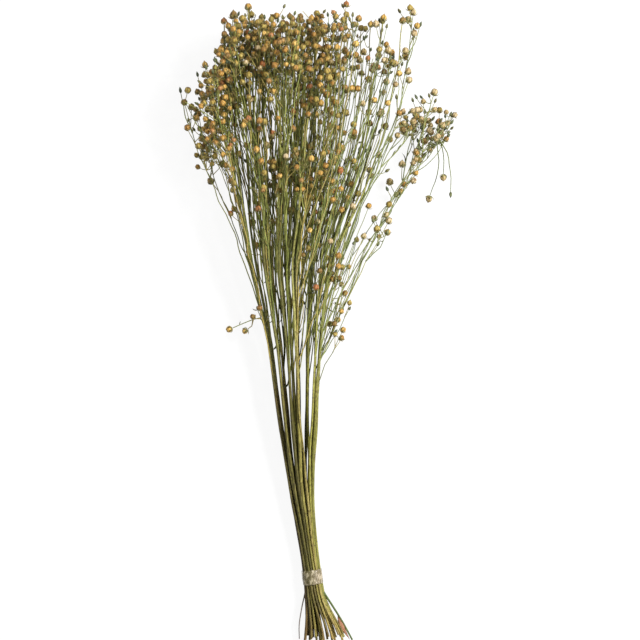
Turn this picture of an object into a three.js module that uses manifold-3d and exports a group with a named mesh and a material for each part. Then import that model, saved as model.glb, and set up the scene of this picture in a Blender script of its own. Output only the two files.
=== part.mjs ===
// A bunch of dried flax that lies on its side, held by a flat band round its stems. Millimetres, +Z up.
// The bunch lies along Y with its heads towards +Y. A height is a distance along Y from the band's middle,
// and x and z are measured from the middle of the bundle there, until the bunch is stood on Z = 0 at the end.
import * as THREE from 'three';
import Module from 'manifold-3d';

// The stems, and how they stand side by side in the band
const STEM_COUNT = 44;
const STEM_SPACING = 2.55;
const STEM_RADII = [1.1, 0.6];
const STEM_THINNEST = 0.82;
const STEM_SIDES = 5;
const STEM_SWAY = 0.16;
const SWAY_HEIGHTS = [100, 215];
const SHORTEST_STRETCH = 30;
const LATTICE_ROWS = 8;
const LATTICE_SHIFT = [0.3, 0.15];
const LATTICE_TURN = -0.09;
const CUT_ENDS = [-66, -56];

// The long twigs that leave a stem at a narrow angle. A range is drawn from at random.
const TWIG = {
  radii: [0.35, 0.6, 0.45],
  sides: 3,
  lowest: 195,
  belowTop: [150, 100],
  pastTop: 12,
  share: [0.74, 1],
  aside: [7, 20],
  outwards: [8, 34],
  deeper: [0, 12],
  flatness: 0.7,
  turnStep: 2.4,
  turnSway: 0.8,
  bend: 1.6,
  parts: [0, 0.38, 0.72, 1],
  aboveFloor: 2,
};

// The short stalks that leave a stem or twig sideways
const STALK = {
  radii: [0.3, 0.42, 0.42],
  sides: 3,
  chance: 0.46,
  onReaching: 4,
  from: [0.55, 0.94],
  lean: [0.45, 1.1],
  length: [9, 19],
  lift: 0.35,
};

// What stems, twigs and stalks carry. A profile is [out, up] from the fruit's middle, in radii.
const CAPSULE = { radius: 4.3, sides: 5, foot: 0.9, profile: [[0.92, -0.35], [0.86, 0.45]], tip: 1.3 };
const BUD = { radius: 1.6, sides: 3, foot: 1.6, profile: [[1, 0]], tip: 2.4 };
const BUD_CHANCE = 0.14;
const FRUIT_CORE = [-0.2, 0.4];
const LOWEST_FRUIT = 0.86;

// The narrow leaves that are left on the stems, and the dry leaf on a bent shoot among the cut ends
const LEAF = {
  count: 12,
  heights: [150, 400],
  length: 14,
  width: 2.6,
  middle: [0.18, 0.45],
  tip: [0.5, 0.85],
};
const DRY_LEAF = { points: [[26.2, -39.2, 0.6], [30.4, -50.6, 1.3], [38, -64, 0]], width: 6 };
const SHOOT = [[12, -14, 0], [25, -40, 1], [36, -60, 0]];
const BLADE_THICKNESS = 0.7;
const BLADE_WIDTHS = [0.4, 1, 0.2];

// The band
const BAND_WIDTH = 14.5;
const BAND_THICKNESS = 0.6;
const BAND_LAP = 0.5;
const BAND_LAP_CORNERS = [1, 6];
const BAND_SIDES = 16;
const BAND_GAP = 0.3;
const BAND_LEAN = Math.atan(0.13);

const STEM_COLOUR = '#8a7b42';
const BAND_COLOUR = '#c9c2ae';

// How the bunch narrows above the band and opens out into its head. At each height: the middle of the
// bundle, how many times wider it is than in the band, and how far it is twisted, in degrees.
const FAN = [
  { height: -66, x: 6, z: 1.4, wideX: 2.05, wideZ: 1.12, twist: -13 },
  { height: -16, x: 2.1, z: 0.2, wideX: 1.1, wideZ: 1.02, twist: -4 },
  { height: 16, x: -2.1, z: 0, wideX: 1, wideZ: 1, twist: 4 },
  { height: 80, x: -9.8, z: 3.4, wideX: 1.36, wideZ: 1.3, twist: 12 },
  { height: 150, x: -11.8, z: 9, wideX: 2.4, wideZ: 1.95, twist: 17 },
  { height: 235, x: -13.3, z: 17, wideX: 3.55, wideZ: 2.8, twist: 19 },
  { height: 330, x: -14.5, z: 29, wideX: 5.8, wideZ: 4, twist: 19 },
  { height: 440, x: -6, z: 40, wideX: 9.2, wideZ: 4.8, twist: 19 },
  { height: 580, x: 3, z: 44, wideX: 11, wideZ: 4.9, twist: 19 },
];

// Between the band and the head the stems part into three strands, which come together again higher up
const STRAND_SPLITS = [-3.2, 3.4];
const STRAND_BLEND = 0.6;
const STRAND_PART = 1.5;
const STRAND_SQUEEZE = 0.8;
const STRAND_HEIGHTS = [16, 110, 215, 330];

// The outline of the head, as [x, height] from its lower left round the top to its lower right
const HEAD_OUTLINE = [
  [-44, 215], [-64, 270], [-84, 320], [-104, 370], [-118, 420], [-129, 465], [-128, 490], [-104, 518],
  [-95, 530], [-90, 558], [-72, 572], [-30, 572], [-4, 580], [28, 571], [100, 571], [104, 545],
  [96, 500], [120, 492], [146, 478], [144, 446], [112, 424], [92, 372], [62, 325], [42, 275], [24, 215],
];
const HEAD_DEPTH = 14;

// How the stems end: most reach the crown, some stop half way up the head, and a few lower still
const REACHES = [
  { share: 0.66, tops: [525, 572], twigs: 3 },
  { share: 0.24, tops: [450, 515], twigs: 2 },
  { share: 0.1, tops: [330, 420], twigs: 2 },
];

// How a place is looked for, how far apart things stay, and where the random draws start
const TRIES = 30;
const CLEARANCE = 0.45;
const STEM_CLEARANCE = 0.2;
const REACHING_LIFT = 0.5;
const PART_STEP = 0.02;
const SEED = 2024;
const SEED_STEP = 101;

// Twigs that reach out of the head, or droop from it, as points [x, height, rise]. The first of each group
// grows from the nearest stem, and the others from the nearest point of the twigs that the stem has by then.
const REACHING = [
  [
    { fruit: CAPSULE, points: [[16, 215, 0], [44, 300, 2], [86, 393, 6], [128, 452, 10]] },
    { fruit: CAPSULE, points: [[110, 428, 8], [112, 455, 12], [121, 484, 14]] },
    { fruit: CAPSULE, points: [[127, 450, 10], [132, 425, 14], [131, 406, 16]] },
    { fruit: CAPSULE, points: [[126, 448, 10], [126, 412, 6], [118, 385, 2]] },
    { fruit: BUD, points: [[129, 446, 12], [138, 415, 20], [138, 388, 20]] },
  ],
  [
    { fruit: CAPSULE, points: [[66, 400, 0], [86, 470, 2], [96, 530, 4], [100, 562, 4]] },
    { fruit: CAPSULE, points: [[92, 505, 4], [98, 528, 12], [103, 548, 14]] },
    { fruit: BUD, points: [[95, 525, 4], [103, 540, -4], [107, 552, -6]] },
  ],
  [
    { fruit: CAPSULE, points: [[20, 235, 0], [58, 335, -6], [97, 410, -12], [118, 446, -16]] },
    { fruit: CAPSULE, points: [[88, 393, -10], [96, 425, -14], [101, 452, -16]] },
  ],
  [
    { fruit: CAPSULE, points: [[-45, 238, 0], [-55, 262, 2], [-66, 258, 4], [-80, 252, 5]] },
    { fruit: CAPSULE, points: [[-57, 262, 2], [-61, 254, -3], [-65, 251, -5]] },
  ],
  [
    { fruit: CAPSULE, points: [[-48, 262, 0], [-84, 360, 3], [-116, 434, 5], [-127, 474, 6]] },
    { fruit: BUD, points: [[-120, 445, 5], [-128, 468, 13], [-131, 486, 14]] },
  ],
  [
    { fruit: CAPSULE, points: [[-40, 245, 0], [-72, 338, -4], [-98, 400, -8], [-110, 440, -10]] },
    { fruit: CAPSULE, points: [[-84, 366, -6], [-92, 385, -14], [-101, 398, -18]] },
  ],
  [
    { fruit: CAPSULE, points: [[22, 240, 0], [44, 300, 3], [62, 332, 5], [75, 356, 6]] },
    { fruit: BUD, points: [[56, 322, 4], [67, 333, -4], [74, 346, -6]] },
  ],
];

const UP = new THREE.Vector3(0, 1, 0);
const BUNDLE_RADIUS = Math.max(...stemRoots().map((root) => Math.hypot(...root)));
const BAND_INNER = BUNDLE_RADIUS + STEM_RADII[0] + BAND_GAP;
const FLOOR = -(BAND_INNER + BAND_THICKNESS);

const wasm = await Module();
wasm.setup();

// Random draws that repeat from a seed
function drawer(seed) {
  let state = seed >>> 0;
  return () => {
    state = (state + 0x6D2B79F5) | 0;
    let mixed = Math.imul(state ^ (state >>> 15), 1 | state);
    mixed = (mixed + Math.imul(mixed ^ (mixed >>> 7), 61 | mixed)) ^ mixed;
    return ((mixed ^ (mixed >>> 14)) >>> 0) / 4294967296;
  };
}

function between(draw, low, high) {
  return low + (high - low) * draw();
}

function ramp(value, start, end) {
  const part = Math.min(Math.max((value - start) / (end - start), 0), 1);
  return part * part * (3 - 2 * part);
}

// The fan's middle, widths and twist at any height, on a straight line between its stations
function fanAt(height) {
  let next = 1;
  while (next < FAN.length - 1 && FAN[next].height < height) next += 1;
  const [low, high] = [FAN[next - 1], FAN[next]];
  const part = (height - low.height) / (high.height - low.height);
  const mix = (name) => low[name] + (high[name] - low[name]) * part;
  return { x: mix('x'), z: mix('z'), wideX: mix('wideX'), wideZ: mix('wideZ'), twist: mix('twist') };
}

// Where the stem that stands at [x, z] in the band is at some height. One rule moves all, so none cross.
function stemPlace([x0, z0], height) {
  const fan = fanAt(height);
  const turn = THREE.MathUtils.degToRad(fan.twist);
  const x = x0 * Math.cos(turn) - z0 * Math.sin(turn);
  const z = x0 * Math.sin(turn) + z0 * Math.cos(turn);
  const rise = ramp(height, STRAND_HEIGHTS[0], STRAND_HEIGHTS[1]);
  const parted = rise * (1 - ramp(height, STRAND_HEIGHTS[2], STRAND_HEIGHTS[3]));
  const [leftSplit, rightSplit] = STRAND_SPLITS;
  const right = ramp(x, rightSplit - STRAND_BLEND, rightSplit + STRAND_BLEND);
  const left = ramp(-x, -leftSplit - STRAND_BLEND, -leftSplit + STRAND_BLEND);
  const strandX = x * STRAND_SQUEEZE + (right - left) * STRAND_PART;
  const placedX = x + (strandX - x) * parted;
  return new THREE.Vector3(fan.x + placedX * fan.wideX, height, fan.z + z * fan.wideZ);
}

// Where the stems stand in the band: the innermost places of a triangular lattice
function stemRoots() {
  const places = [];
  const [shiftX, shiftZ] = LATTICE_SHIFT;
  for (let row = -LATTICE_ROWS; row <= LATTICE_ROWS; row += 1) {
    for (let column = -LATTICE_ROWS; column <= LATTICE_ROWS; column += 1) {
      const x = (column + row / 2 + shiftX) * STEM_SPACING;
      const z = (row * Math.sqrt(3) / 2 + shiftZ) * STEM_SPACING;
      const turnedX = x * Math.cos(LATTICE_TURN) - z * Math.sin(LATTICE_TURN);
      const turnedZ = x * Math.sin(LATTICE_TURN) + z * Math.cos(LATTICE_TURN);
      places.push([turnedX, turnedZ]);
    }
  }
  places.sort((a, b) => Math.hypot(...a) - Math.hypot(...b));
  return places.slice(0, STEM_COUNT);
}

// The highest that a stem may reach at some x without leaving the head
function outlineTop(x) {
  let top = 0;
  for (let i = 1; i < HEAD_OUTLINE.length; i += 1) {
    const [[x1, y1], [x2, y2]] = [HEAD_OUTLINE[i - 1], HEAD_OUTLINE[i]];
    if (x1 !== x2 && (x1 - x) * (x2 - x) <= 0) {
      top = Math.max(top, y1 + (y2 - y1) * (x - x1) / (x2 - x1));
    }
  }
  return top;
}

function isInHead(x, height) {
  let inside = false;
  for (let i = 0; i < HEAD_OUTLINE.length; i += 1) {
    const [x1, y1] = HEAD_OUTLINE[i];
    const [x2, y2] = HEAD_OUTLINE[(i + 1) % HEAD_OUTLINE.length];
    if ((y1 > height) !== (y2 > height) && x < x1 + (x2 - x1) * (height - y1) / (y2 - y1)) inside = !inside;
  }
  return inside;
}

// The points of one main stem, from its cut end up
function stemPoints(root, reach, draw) {
  const cutEnd = between(draw, ...CUT_ENDS);
  const wanted = between(draw, ...reach.tops);
  const top = Math.min(wanted, outlineTop(stemPlace(root, wanted).x) - CAPSULE.radius);
  const isOnStem = (height) => height > cutEnd && height < top - SHORTEST_STRETCH;
  const stations = FAN.map((station) => station.height).filter(isOnStem);
  return [cutEnd, ...stations, top].map((height) => {
    const point = stemPlace(root, height);
    const sway = STEM_SPACING * STEM_SWAY * ramp(height, ...SWAY_HEIGHTS);
    point.x += between(draw, -sway, sway) * fanAt(height).wideX;
    point.z += between(draw, -sway, sway) * fanAt(height).wideZ;
    return point;
  });
}

// The point of a limb at some height along the bunch
function pointAtHeight(points, height) {
  let next = 1;
  while (next < points.length - 1 && points[next].y < height) next += 1;
  const part = (height - points[next - 1].y) / (points[next].y - points[next - 1].y);
  return points[next - 1].clone().lerp(points[next], part);
}

function pointAtPart(points, part) {
  const place = part * (points.length - 1);
  const start = Math.min(Math.floor(place), points.length - 2);
  return points[start].clone().lerp(points[start + 1], place - start);
}

// A rod is a straight stretch with a radius: a stretch of stem or stalk, or a fruit's core
function rod(start, end, radius, owner, isFruit) {
  return { start, along: end.clone().sub(start), radius, owner, isFruit };
}

// How far two rods are apart, surface to surface
function rodGap(one, other) {
  const from = one.start.clone().sub(other.start);
  const a = one.along.lengthSq();
  const e = other.along.lengthSq();
  const b = one.along.dot(other.along);
  const c = one.along.dot(from);
  const f = other.along.dot(from);
  const cross = a * e - b * b;
  const clamp = (value) => Math.min(Math.max(value, 0), 1);
  let s = cross > 1e-9 ? clamp((b * f - c * e) / cross) : 0;
  let t = (b * s + f) / e;
  if (t < 0) {
    t = 0;
    s = clamp(-c / a);
  } else if (t > 1) {
    t = 1;
    s = clamp((b - c) / a);
  }
  const apart = from.addScaledVector(one.along, s).addScaledVector(other.along, -t);
  return apart.length() - one.radius - other.radius;
}

// The limbs and fruits that are placed so far, and whether new ones would stay clear of them
const placed = [];

function isClear(rods) {
  return rods.every((one) => placed.every((other) => {
    if (one.owner === other.owner && !one.isFruit && !other.isFruit) return true;
    return rodGap(one, other) > CLEARANCE;
  }));
}

function limbRods(points, radius, owner) {
  return points.slice(1).map((point, i) => rod(points[i], point, radius, owner, false));
}

function fruitRod(fruit, owner) {
  const { radius } = fruit.kind;
  const [start, end] = FRUIT_CORE.map((up) => fruit.centre.clone().addScaledVector(fruit.axis, up * radius));
  return rod(start, end, radius, owner, true);
}

// A fruit that stands on the tip of a limb
function fruitOn(tip, axis, kind) {
  return { kind, axis, centre: tip.clone().addScaledVector(axis, kind.foot * kind.radius) };
}

function isInside(fruit) {
  const { x, y, z } = fruit.centre;
  const fan = fanAt(y);
  const highest = fan.z + fan.wideZ * BUNDLE_RADIUS + HEAD_DEPTH;
  return isInHead(x, y) && z > FLOOR + CAPSULE.radius * LOWEST_FRUIT && z < highest;
}

// A twig runs on beside its stem and bends outwards
function twigPoints(spray, place) {
  const { stem, draw } = spray;
  const top = stem[stem.length - 1].y;
  const lowest = Math.min(TWIG.lowest, top - TWIG.belowTop[0]);
  const highest = top - TWIG.belowTop[1];
  const root = lowest + (highest - lowest) * (place + draw()) / spray.reach.twigs;
  const end = root + (top + TWIG.pastTop - root) * between(draw, ...TWIG.share);
  const turn = spray.turn + place * TWIG.turnStep + between(draw, -TWIG.turnSway, TWIG.turnSway);
  const aside = between(draw, ...TWIG.aside);
  const [side, depth] = [spray.root[0] / BUNDLE_RADIUS, spray.root[1] / BUNDLE_RADIUS];
  const shiftX = aside * Math.cos(turn) + side * between(draw, ...TWIG.outwards);
  const shiftZ = aside * Math.sin(turn) * TWIG.flatness + depth * between(draw, ...TWIG.deeper);
  return TWIG.parts.map((part) => {
    const height = root + (end - root) * part;
    const point = pointAtHeight(stem, Math.min(height, top));
    const bend = part ** TWIG.bend;
    const level = Math.max(point.z + shiftZ * bend, FLOOR + TWIG.aboveFloor);
    return new THREE.Vector3(point.x + shiftX * bend, height, level);
  });
}

function stalkPoints(limb, draw) {
  const part = between(draw, ...STALK.from);
  const root = pointAtPart(limb, part);
  const ahead = pointAtPart(limb, part + PART_STEP).sub(root).normalize();
  const turn = between(draw, 0, 2 * Math.PI);
  const side = new THREE.Vector3(Math.cos(turn), 0, Math.sin(turn));
  side.addScaledVector(ahead, -side.dot(ahead)).normalize();
  const lean = between(draw, ...STALK.lean);
  const direction = ahead.multiplyScalar(Math.cos(lean)).addScaledVector(side, Math.sin(lean));
  return [root, root.clone().addScaledVector(direction, between(draw, ...STALK.length))];
}

// The point of a spray's twigs that is nearest to a given one
function nearestPoint(spray, wanted) {
  let best = spray.limbs[0].points[0];
  for (const { points } of spray.limbs.filter(({ form }) => form === TWIG)) {
    for (let part = 0; part <= 1; part += PART_STEP) {
      const point = pointAtPart(points, part);
      if (point.distanceTo(wanted) < best.distanceTo(wanted)) best = point;
    }
  }
  return best;
}

// How far up a stem reaches, drawn by the shares of the three kinds
function reachOf(draw) {
  const kind = draw();
  if (kind < REACHES[0].share) return REACHES[0];
  return kind < REACHES[0].share + REACHES[1].share ? REACHES[1] : REACHES[2];
}

const sprays = stemRoots().map((root, index) => {
  const draw = drawer(SEED + index * SEED_STEP);
  const reach = reachOf(draw);
  const stem = stemPoints(root, reach, draw);
  const turn = between(draw, 0, 2 * Math.PI);
  const thickness = between(draw, STEM_THINNEST, 1);
  return { index, root, reach, draw, stem, turn, thickness, limbs: [], blades: [] };
});

// A limb is kept only where it stays clear of what is there already, and its fruit inside the head
function tryLimb(spray, form, points, kind, isBound = true) {
  const last = points.length - 1;
  const axis = points[last].clone().sub(points[last - 1]).normalize();
  if (form === STALK) axis.addScaledVector(UP, STALK.lift).normalize();
  const fruit = fruitOn(points[last], axis, kind);
  const rods = [...limbRods(points, form.radii[1], spray.index), fruitRod(fruit, spray.index)];
  if ((isBound && !isInside(fruit)) || !isClear(rods)) return false;
  spray.limbs.push({ form, points, fruit });
  placed.push(...rods);
  return true;
}

function isPlacedWithin(tries, tryOnce) {
  for (let attempt = 0; attempt < tries; attempt += 1) {
    if (tryOnce(attempt)) return true;
  }
  return false;
}

function addStemTips() {
  const radius = STEM_RADII[1] + STEM_CLEARANCE;
  for (const spray of sprays) placed.push(...limbRods(spray.stem, radius, spray.index));
  for (const spray of sprays) {
    const tip = spray.stem[spray.stem.length - 1];
    const axis = tip.clone().sub(spray.stem[spray.stem.length - 2]).normalize();
    spray.fruit = fruitOn(tip, axis, CAPSULE);
    placed.push(fruitRod(spray.fruit, spray.index));
  }
}

// The sprays whose stems go on well past some height, the nearest to some x there first
function spraysNear(x, height) {
  const apart = (spray) => Math.abs(pointAtHeight(spray.stem, height).x - x);
  const tall = sprays.filter((spray) => spray.stem[spray.stem.length - 1].y > height + 2 * SHORTEST_STRETCH);
  return tall.sort((one, other) => apart(one) - apart(other));
}

// A reaching twig is lifted or lowered, a little more each time, until it is clear
function tryReaching(spray, limb, root, level) {
  return isPlacedWithin(TRIES, (attempt) => {
    const lift = attempt * (attempt % 2 ? REACHING_LIFT : -REACHING_LIFT);
    const points = limb.points.map(([x, height, rise]) => {
      return new THREE.Vector3(x, height, Math.max(level + rise + lift, FLOOR + CAPSULE.radius));
    });
    points[0] = root.clone();
    return tryLimb(spray, TWIG, points, limb.fruit, false);
  });
}

function addReachingTwigs() {
  for (const [first, ...others] of REACHING) {
    const [x, height] = first.points[0];
    const rootOn = (near) => pointAtHeight(near.stem, height);
    const isTaken = (near) => tryReaching(near, first, rootOn(near), rootOn(near).z);
    const spray = spraysNear(x, height).find(isTaken);
    const level = rootOn(spray).z;
    addStalksTo(spray, spray.limbs[spray.limbs.length - 1].points, STALK.onReaching);
    for (const limb of others) {
      const [startX, startHeight, rise] = limb.points[0];
      const root = nearestPoint(spray, new THREE.Vector3(startX, startHeight, level + rise));
      tryReaching(spray, limb, root, level);
    }
  }
}

function drawFruit(draw) {
  return draw() < BUD_CHANCE ? BUD : CAPSULE;
}

function addTwigs() {
  for (let place = 0; place < REACHES[0].twigs; place += 1) {
    for (const spray of sprays.filter(({ reach }) => place < reach.twigs)) {
      isPlacedWithin(TRIES, () => tryLimb(spray, TWIG, twigPoints(spray, place), drawFruit(spray.draw)));
    }
  }
}

function addStalksTo(spray, limb, count) {
  for (let place = 0; place < count; place += 1) {
    isPlacedWithin(TRIES, () => tryLimb(spray, STALK, stalkPoints(limb, spray.draw), drawFruit(spray.draw)));
  }
}

function addStalks() {
  for (const spray of sprays) {
    const twigs = spray.limbs.filter(({ form }) => form === TWIG).map(({ points }) => points);
    for (const limb of [spray.stem.slice(-2), ...twigs]) {
      if (spray.draw() < STALK.chance) addStalksTo(spray, limb, 1);
    }
  }
}

function tryBlade(spray, points, width) {
  const rods = limbRods(points, width / 2, spray.index);
  if (!isClear(rods)) return false;
  spray.blades.push({ points, width });
  placed.push(...rods);
  return true;
}

// The few narrow leaves leave their stems upwards and curve away from them
function addLeaves() {
  const draw = drawer(SEED - 1);
  for (let place = 0; place < LEAF.count; place += 1) {
    isPlacedWithin(TRIES, () => {
      const spray = sprays[Math.floor(draw() * STEM_COUNT)];
      const root = pointAtHeight(spray.stem, between(draw, ...LEAF.heights));
      const turn = between(draw, 0, 2 * Math.PI);
      const side = new THREE.Vector3(Math.cos(turn), 0, Math.sin(turn));
      const [middle, tip] = [LEAF.middle, LEAF.tip].map(([out, up]) => {
        return root.clone().addScaledVector(side, LEAF.length * out).addScaledVector(UP, LEAF.length * up);
      });
      return tryBlade(spray, [root, middle, tip], LEAF.width);
    });
  }
}

// The bent shoot grows from the outermost stem on the right, and the dry leaf clings to it
function addShoot() {
  const [spray] = spraysNear(...SHOOT[0]);
  const points = SHOOT.map((point) => new THREE.Vector3(...point));
  points[0] = pointAtHeight(spray.stem, SHOOT[0][1]);
  spray.limbs.push({ form: TWIG, points });
  placed.push(...limbRods(points, TWIG.radii[1], spray.index));
  tryBlade(spray, DRY_LEAF.points.map((point) => new THREE.Vector3(...point)), DRY_LEAF.width);
}

addStemTips();
addShoot();
addReachingTwigs();
addTwigs();
addStalks();
addLeaves();

// A limb's curve runs straight from point to point
class Limb extends THREE.Curve {
  constructor(points) {
    super();
    this.points = points;
  }

  getPoint(part, target = new THREE.Vector3()) {
    return target.copy(pointAtPart(this.points, part));
  }

  getUtoTmapping(part) {
    return part;
  }
}

// A closed body whose skin runs from a flat first ring of corners over the other rings, and ends in a tip
// or in a flat last ring. Two rings may differ in how many corners they have.
function skinSolid(rings, tip) {
  const corners = rings.flat();
  const faces = [];
  let start = 0;
  for (let i = 2; i < rings[0].length; i += 1) faces.push(0, i, i - 1);
  for (let r = 1; r < rings.length; r += 1) {
    const [n, m] = [rings[r - 1].length, rings[r].length];
    const next = start + n;
    let [i, j] = [0, 0];
    while (i < n || j < m) {
      const [a, b] = [start + i % n, next + j % m];
      if (j === m || (i < n && (i + 1) / n <= (j + 1) / m)) {
        i += 1;
        faces.push(a, start + i % n, b);
      } else {
        j += 1;
        faces.push(a, next + j % m, b);
      }
    }
    start = next;
  }
  const last = rings[rings.length - 1].length;
  if (tip) {
    for (let i = 0; i < last; i += 1) faces.push(start + i, start + (i + 1) % last, corners.length);
    corners.push(tip);
  } else {
    for (let i = 2; i < last; i += 1) faces.push(start, start + i - 1, start + i);
  }
  const vertProperties = new Float32Array(corners.flatMap(({ x, y, z }) => [x, y, Math.max(z, FLOOR)]));
  return new wasm.Manifold(new wasm.Mesh({ numProp: 3, vertProperties, triVerts: new Uint32Array(faces) }));
}

// The corners of one ring, counted round the limb that it belongs to
function ring(centre, normal, binormal, radius, sides, flatness = 1) {
  const corners = [];
  for (let i = 0; i < sides; i += 1) {
    const turn = 2 * Math.PI * (i + 0.5) / sides;
    const corner = centre.clone().addScaledVector(normal, radius * Math.cos(turn));
    corners.push(corner.addScaledVector(binormal, radius * flatness * Math.sin(turn)));
  }
  return corners;
}

// A stem, twig or stalk with the fruit on its tip. Its radii are those at its root, past it, and at its tip.
function limbSolid(points, fruit, { sides, radii }) {
  const last = points.length - 1;
  const frames = new Limb(points).computeFrenetFrames(last);
  const rings = points.map((point, i) => {
    const past = Math.max(i - 1, 0) / Math.max(last - 1, 1);
    const radius = i === 0 ? radii[0] : radii[1] + (radii[2] - radii[1]) * past;
    return ring(point, frames.normals[i], frames.binormals[i], radius, sides);
  });
  if (!fruit) return skinSolid(rings);
  const { kind, axis, centre } = fruit;
  const turn = new THREE.Quaternion().setFromUnitVectors(frames.tangents[last], axis);
  const normal = frames.normals[last].clone().applyQuaternion(turn);
  const binormal = frames.binormals[last].clone().applyQuaternion(turn);
  for (const [out, up] of kind.profile) {
    const middle = centre.clone().addScaledVector(axis, up * kind.radius);
    rings.push(ring(middle, normal, binormal, out * kind.radius, kind.sides));
  }
  return skinSolid(rings, centre.clone().addScaledVector(axis, kind.tip * kind.radius));
}

// A leaf: a thin blade that is widest near its middle
function bladeSolid({ points, width }) {
  const frames = new Limb(points).computeFrenetFrames(points.length - 1);
  const rings = points.map((point, i) => {
    const half = width / 2 * BLADE_WIDTHS[i];
    const flatness = BLADE_THICKNESS / 2 / half;
    return ring(point, frames.normals[i], frames.binormals[i], half * Math.SQRT2, 4, flatness);
  });
  return skinSolid(rings);
}

// The mesh's geometry from a finished solid
function geometryOf(solid) {
  const { vertProperties, triVerts } = solid.getMesh();
  const geometry = new THREE.BufferGeometry();
  geometry.setAttribute('position', new THREE.BufferAttribute(vertProperties, 3));
  geometry.setIndex(new THREE.BufferAttribute(triVerts, 1));
  geometry.computeVertexNormals();
  return geometry;
}

// Where two limbs touch twice they can seal a small hollow between them, which is filled here
function withoutHollows(solid) {
  return solid.decompose().reduce((largest, shell) => (shell.volume() > largest.volume() ? shell : largest));
}

// One flax stem with all that grows on it
function spraySolid(spray) {
  const [base, tip] = STEM_RADII;
  const baseRadius = base * spray.thickness;
  let solid = limbSolid(spray.stem, spray.fruit, { sides: STEM_SIDES, radii: [baseRadius, baseRadius, tip] });
  for (const { form, points, fruit } of spray.limbs) solid = solid.add(limbSolid(points, fruit, form));
  for (const blade of spray.blades) solid = solid.add(bladeSolid(blade));
  return withoutHollows(solid);
}

// The band's cross-section: flat below, where the bunch lies on it, and thicker where its end laps over
function bandShape() {
  const apothem = Math.cos(Math.PI / BAND_SIDES);
  const corner = (i, radius) => {
    const turn = 2 * Math.PI * (i + 0.5) / BAND_SIDES;
    return new THREE.Vector2(Math.cos(turn), Math.sin(turn)).multiplyScalar(radius / apothem);
  };
  const outer = [];
  const inner = [];
  for (let i = 0; i < BAND_SIDES; i += 1) {
    const lap = i >= BAND_LAP_CORNERS[0] && i <= BAND_LAP_CORNERS[1] ? BAND_LAP : 0;
    outer.push(corner(i, BAND_INNER + BAND_THICKNESS + lap));
    inner.push(corner(i, BAND_INNER));
  }
  const shape = new THREE.Shape(outer);
  shape.holes.push(new THREE.Path(inner));
  return shape;
}

function bandMesh() {
  const geometry = new THREE.ExtrudeGeometry(bandShape(), { depth: BAND_WIDTH, bevelEnabled: false });
  geometry.translate(0, 0, -BAND_WIDTH / 2);
  geometry.rotateX(Math.PI / 2);
  geometry.rotateZ(BAND_LEAN);
  const material = new THREE.MeshStandardMaterial({ color: BAND_COLOUR, roughness: 0.35 });
  const mesh = new THREE.Mesh(geometry, material);
  mesh.name = 'tie_band';
  return mesh;
}

function sprayMesh(spray) {
  const material = new THREE.MeshStandardMaterial({ color: STEM_COLOUR, roughness: 0.8 });
  const mesh = new THREE.Mesh(geometryOf(spraySolid(spray)), material);
  mesh.name = `stem_${String(spray.index + 1).padStart(2, '0')}`;
  return mesh;
}

const bunch = new THREE.Group();
for (const spray of sprays) bunch.add(sprayMesh(spray));
bunch.add(bandMesh());

const box = new THREE.Box3().setFromObject(bunch);
const middle = box.getCenter(new THREE.Vector3());
bunch.position.set(-middle.x, -middle.y, -box.min.z);

export default bunch;
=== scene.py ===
# The looks of a bunch of dried flax that lies on its side, tied with a clear band.
import math

import bpy
import numpy as np
from mathutils import Matrix, Vector


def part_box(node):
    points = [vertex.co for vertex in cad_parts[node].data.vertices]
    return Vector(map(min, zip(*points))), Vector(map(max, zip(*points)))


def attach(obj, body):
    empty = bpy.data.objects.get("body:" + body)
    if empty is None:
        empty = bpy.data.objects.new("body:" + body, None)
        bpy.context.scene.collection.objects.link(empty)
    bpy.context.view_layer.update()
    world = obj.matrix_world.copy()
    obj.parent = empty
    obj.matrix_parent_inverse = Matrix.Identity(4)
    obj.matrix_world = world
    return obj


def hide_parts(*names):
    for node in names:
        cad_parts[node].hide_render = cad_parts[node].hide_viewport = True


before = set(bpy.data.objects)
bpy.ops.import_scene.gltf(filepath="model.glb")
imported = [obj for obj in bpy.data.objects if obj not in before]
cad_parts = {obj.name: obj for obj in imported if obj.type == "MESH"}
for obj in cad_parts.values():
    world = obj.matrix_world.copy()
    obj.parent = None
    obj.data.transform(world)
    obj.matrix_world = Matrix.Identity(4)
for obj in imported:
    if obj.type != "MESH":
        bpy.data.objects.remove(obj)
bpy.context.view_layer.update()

# How the flax grows. The same rule places the solids, so that each stem and fruit here stands where its
# solid does. Millimetres: a height runs along the bunch from the band, and x and z from its middle.

# The stems, and how they stand side by side in the band
STEM_COUNT = 44
STEM_SPACING = 2.55
STEM_RADII = (1.1, 0.6)
STEM_SWAY = 0.16
SWAY_HEIGHTS = (100, 215)
SHORTEST_STRETCH = 30
LATTICE_ROWS = 8
LATTICE_SHIFT = (0.3, 0.15)
LATTICE_TURN = -0.09
CUT_ENDS = (-66, -56)

# The long twigs that leave a stem at a narrow angle. A range is drawn from at random.
TWIG_RADIUS = 0.6
TWIG_LOWEST = 195
TWIG_BELOW_TOP = (150, 100)
TWIG_PAST_TOP = 12
TWIG_SHARE = (0.74, 1)
TWIG_ASIDE = (7, 20)
TWIG_OUTWARDS = (8, 34)
TWIG_DEEPER = (0, 12)
TWIG_FLATNESS = 0.7
TWIG_TURN_STEP = 2.4
TWIG_TURN_SWAY = 0.8
TWIG_BEND = 1.6
TWIG_PARTS = (0, 0.38, 0.72, 1)
TWIG_ABOVE_FLOOR = 2

# The short stalks that leave a stem or twig sideways
STALK_RADIUS = 0.42
STALK_CHANCE = 0.46
STALKS_ON_REACHING = 4
STALK_FROM = (0.55, 0.94)
STALK_LEAN = (0.45, 1.1)
STALK_LENGTH = (9, 19)
STALK_LIFT = 0.35

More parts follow.
